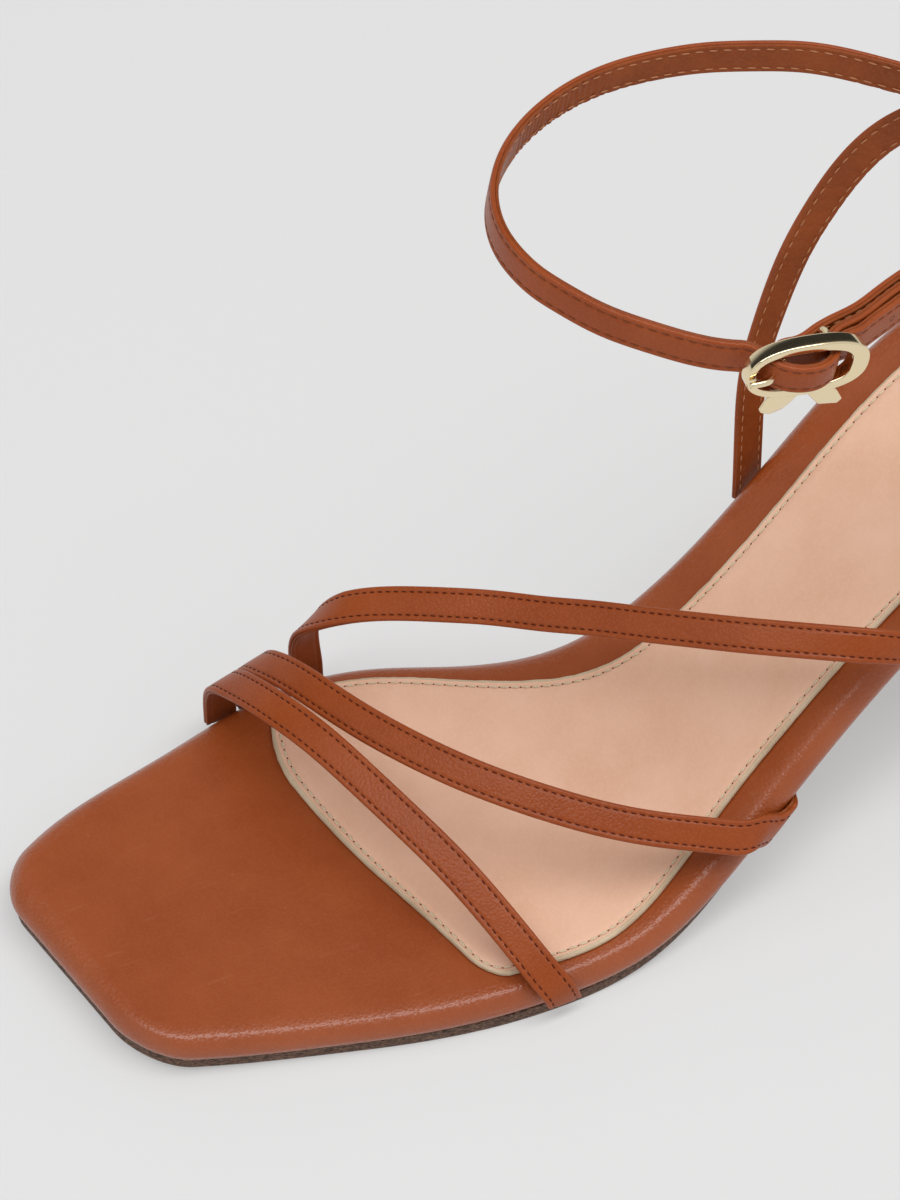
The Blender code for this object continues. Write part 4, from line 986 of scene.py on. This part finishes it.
def rod(route, radii, step, sides=16):
    """Round rod along a route, its radius running through the given values. Its rings are laid out from
    the strap plane's upright, or from the X axis where the rod runs nearly along that."""
    p, d, run = along(route, step)[:3]
    r = np.interp(run / run[-1], np.linspace(0, 1, len(radii)), radii)
    lean = np.abs(d @ PLANE_UP) < 0.8
    side = np.cross(d, np.where(lean[:, None], PLANE_UP, np.array([1.0, 0.0, 0.0])))
    side /= np.linalg.norm(side, axis=1)[:, None]
    over = np.cross(d, side)
    phi = np.arange(sides) * 2 * math.pi / sides
    wheel = side[:, None] * np.cos(phi)[:, None] + over[:, None] * np.sin(phi)[:, None]
    return tube(p[:, None] + r[:, None, None] * wheel)


# Bar and its two posts: share of the reach, share of the drop
BAR = np.array((
    (-1.0, 0.05), (-1.0, 0.35), (-0.95, 0.75), (-0.8, 0.97), (-0.6, 1.0), (0.0, 1.0), (0.6, 1.0),
    (0.8, 0.97), (0.95, 0.75), (1.0, 0.35), (1.0, 0.05),
))
bar_route = at_buckle(BAR_BACK, -BAR_DROP * BAR[:, 1], BAR_REACH * BAR[:, 0] + BUCKLE_RISE)
bar = rod(bar_route, (BAR_RADIUS, BAR_RADIUS), step=0.3)


def tail(corners):
    """Flat tail below the frame: its outline goes straight from corner to corner, softened by a mean of
    neighbours, and is drawn in step by step to a low ridge outwards."""
    corners = np.array(corners + corners[:1])
    key = np.linspace(0, len(corners) - 1, 12 * (len(corners) - 1) + 1)[:-1]
    outline = np.stack([np.interp(key, np.arange(len(corners)), corners[:, k]) for k in range(2)], -1)
    outline = (np.roll(outline, 1, 0) + 2 * outline + np.roll(outline, -1, 0)) / 4
    middle = outline.mean(0)
    rows = np.array(TAIL_PROFILE)
    flat = middle + (outline - middle)[None] * rows[:, :1, None]
    return tube(at_buckle(flat[..., 0], rows[:, 1:], flat[..., 1]))


cast = joined(cast_ring(count=220, radius=0.36), bar, tail(TAIL_FRONT), tail(TAIL_BACK))
make("buckle_frame_cast", cast, [gold_plate], ["buckle_frame"])
prong = rod(at_buckle(*np.array(PRONG).T), PRONG_RADII, step=0.25)
make("buckle_prong_cast", prong, [gold_plate], ["buckle_prong"])


# Studio: floor, soft light, camera

FLOOR = 6.0                # half its side
floor_mesh = bpy.data.meshes.new("studio_floor")
corners = [(-FLOOR, -FLOOR, 0.0), (FLOOR, -FLOOR, 0.0), (FLOOR, FLOOR, 0.0), (-FLOOR, FLOOR, 0.0)]
floor_mesh.from_pydata(corners, [], [(0, 1, 2, 3)])
floor = bpy.data.objects.new("studio_floor", floor_mesh)
bpy.context.scene.collection.objects.link(floor)
# Opal acrylic table lit from below, so that shadows on it stay pale
table = finish_of("lit_opal_acrylic", Base_Color=(0.42, 0.42, 0.42, 1.0), Roughness=0.9,
                  Emission_Color=(1.0, 1.0, 1.0, 1.0), Emission_Strength=0.354)
floor_mesh.materials.append(table[0])


def softbox(name, place, aim, size, watts):
    """Area light with sides of size (along the shoe, across it), at a place, facing aim (metres)."""
    data = bpy.data.lights.new(name, "AREA")
    data.shape = "RECTANGLE"
    data.size = size[0]
    data.size_y = size[1]
    data.energy = watts
    lamp = bpy.data.objects.new(name, data)
    back = np.array(place) - np.array(aim)
    back /= np.linalg.norm(back)
    side = np.cross((0.0, 1.0, 0.0), back)
    side /= np.linalg.norm(side)
    over = np.cross(back, side)
    lamp.matrix_world = Matrix([[side[k], over[k], back[k], place[k]] for k in range(3)] + [[0, 0, 0, 1]])
    bpy.context.scene.collection.objects.link(lamp)


softbox("overhead_strip", place=(0.05, 0.3, 1.35), aim=(0.05, 0.02, 0.05), size=(1.8, 0.36), watts=12.0)
# Light tent: white all round, with a dark slit behind the shoe and a dimmer mouth where it is open
TENT_LEVEL = 0.69
SLIT_OFF = 0.57            # sine of the slit's angle towards the inner side
MOUTH = (0.28, 0.56, 0.78)  # direction of its open front, on the camera's side
world = bpy.data.worlds.new("light_tent")
world.use_nodes = True
tree = world.node_tree
spot = add(tree, "TexCoord").outputs["Generated"]
parts = add(tree, "SeparateXYZ", {}, {0: spot})
off = add(tree, "Math", {1: SLIT_OFF}, {0: parts.outputs[1]}, operation="ADD")
away = add(tree, "Math", {}, {0: off.outputs[0]}, operation="ABSOLUTE")
slit = add(tree, "MapRange", {"From Min": 0.1, "From Max": 0.2, "To Min": 0.05, "To Max": 1.0},
           {"Value": away.outputs[0]})
toward = add(tree, "VectorMath", {1: MOUTH}, {0: spot}, operation="DOT_PRODUCT")
mouth = add(tree, "MapRange", {"From Min": 0.72, "From Max": 0.93, "To Min": 1.0, "To Max": 0.55},
            {"Value": toward.outputs["Value"]})
dim = add(tree, "Math", {}, {0: slit.outputs[0], 1: mouth.outputs[0]}, operation="MULTIPLY")
lit = add(tree, "Math", {1: TENT_LEVEL}, {0: dim.outputs[0]}, operation="MULTIPLY")
sky = tree.nodes["Background"]
sky.inputs["Color"].default_value = (1.0, 1.0, 1.0, 1.0)
tree.links.new(lit.outputs[0], sky.inputs["Strength"])
bpy.context.scene.world = world

# Camera: place that it looks at, its directions to the back, right and top, distance, lens
TARGET = np.array((0.047289, 0.008661, 0.084549))
BACK = np.array((0.27885093, 0.56147087, 0.77909731))
RIGHT = np.array((-0.89562638, 0.44480714, 0.0))
OVER = np.cross(BACK, RIGHT)
DISTANCE = 1.00146
LENS = 172.84              # millimetres, on a sensor 36 mm wide
eye = TARGET + BACK * DISTANCE
camera_data = bpy.data.cameras.new("camera")
camera_data.lens = LENS
camera_data.sensor_width = 36.0
camera = bpy.data.objects.new("camera", camera_data)
camera.matrix_world = Matrix([[RIGHT[k], OVER[k], BACK[k], eye[k]] for k in range(3)] + [[0, 0, 0, 1]])
bpy.context.scene.collection.objects.link(camera)
bpy.context.scene.camera = camera
bpy.context.scene.view_settings.view_transform = "Standard"

bpy.context.view_layer.update()
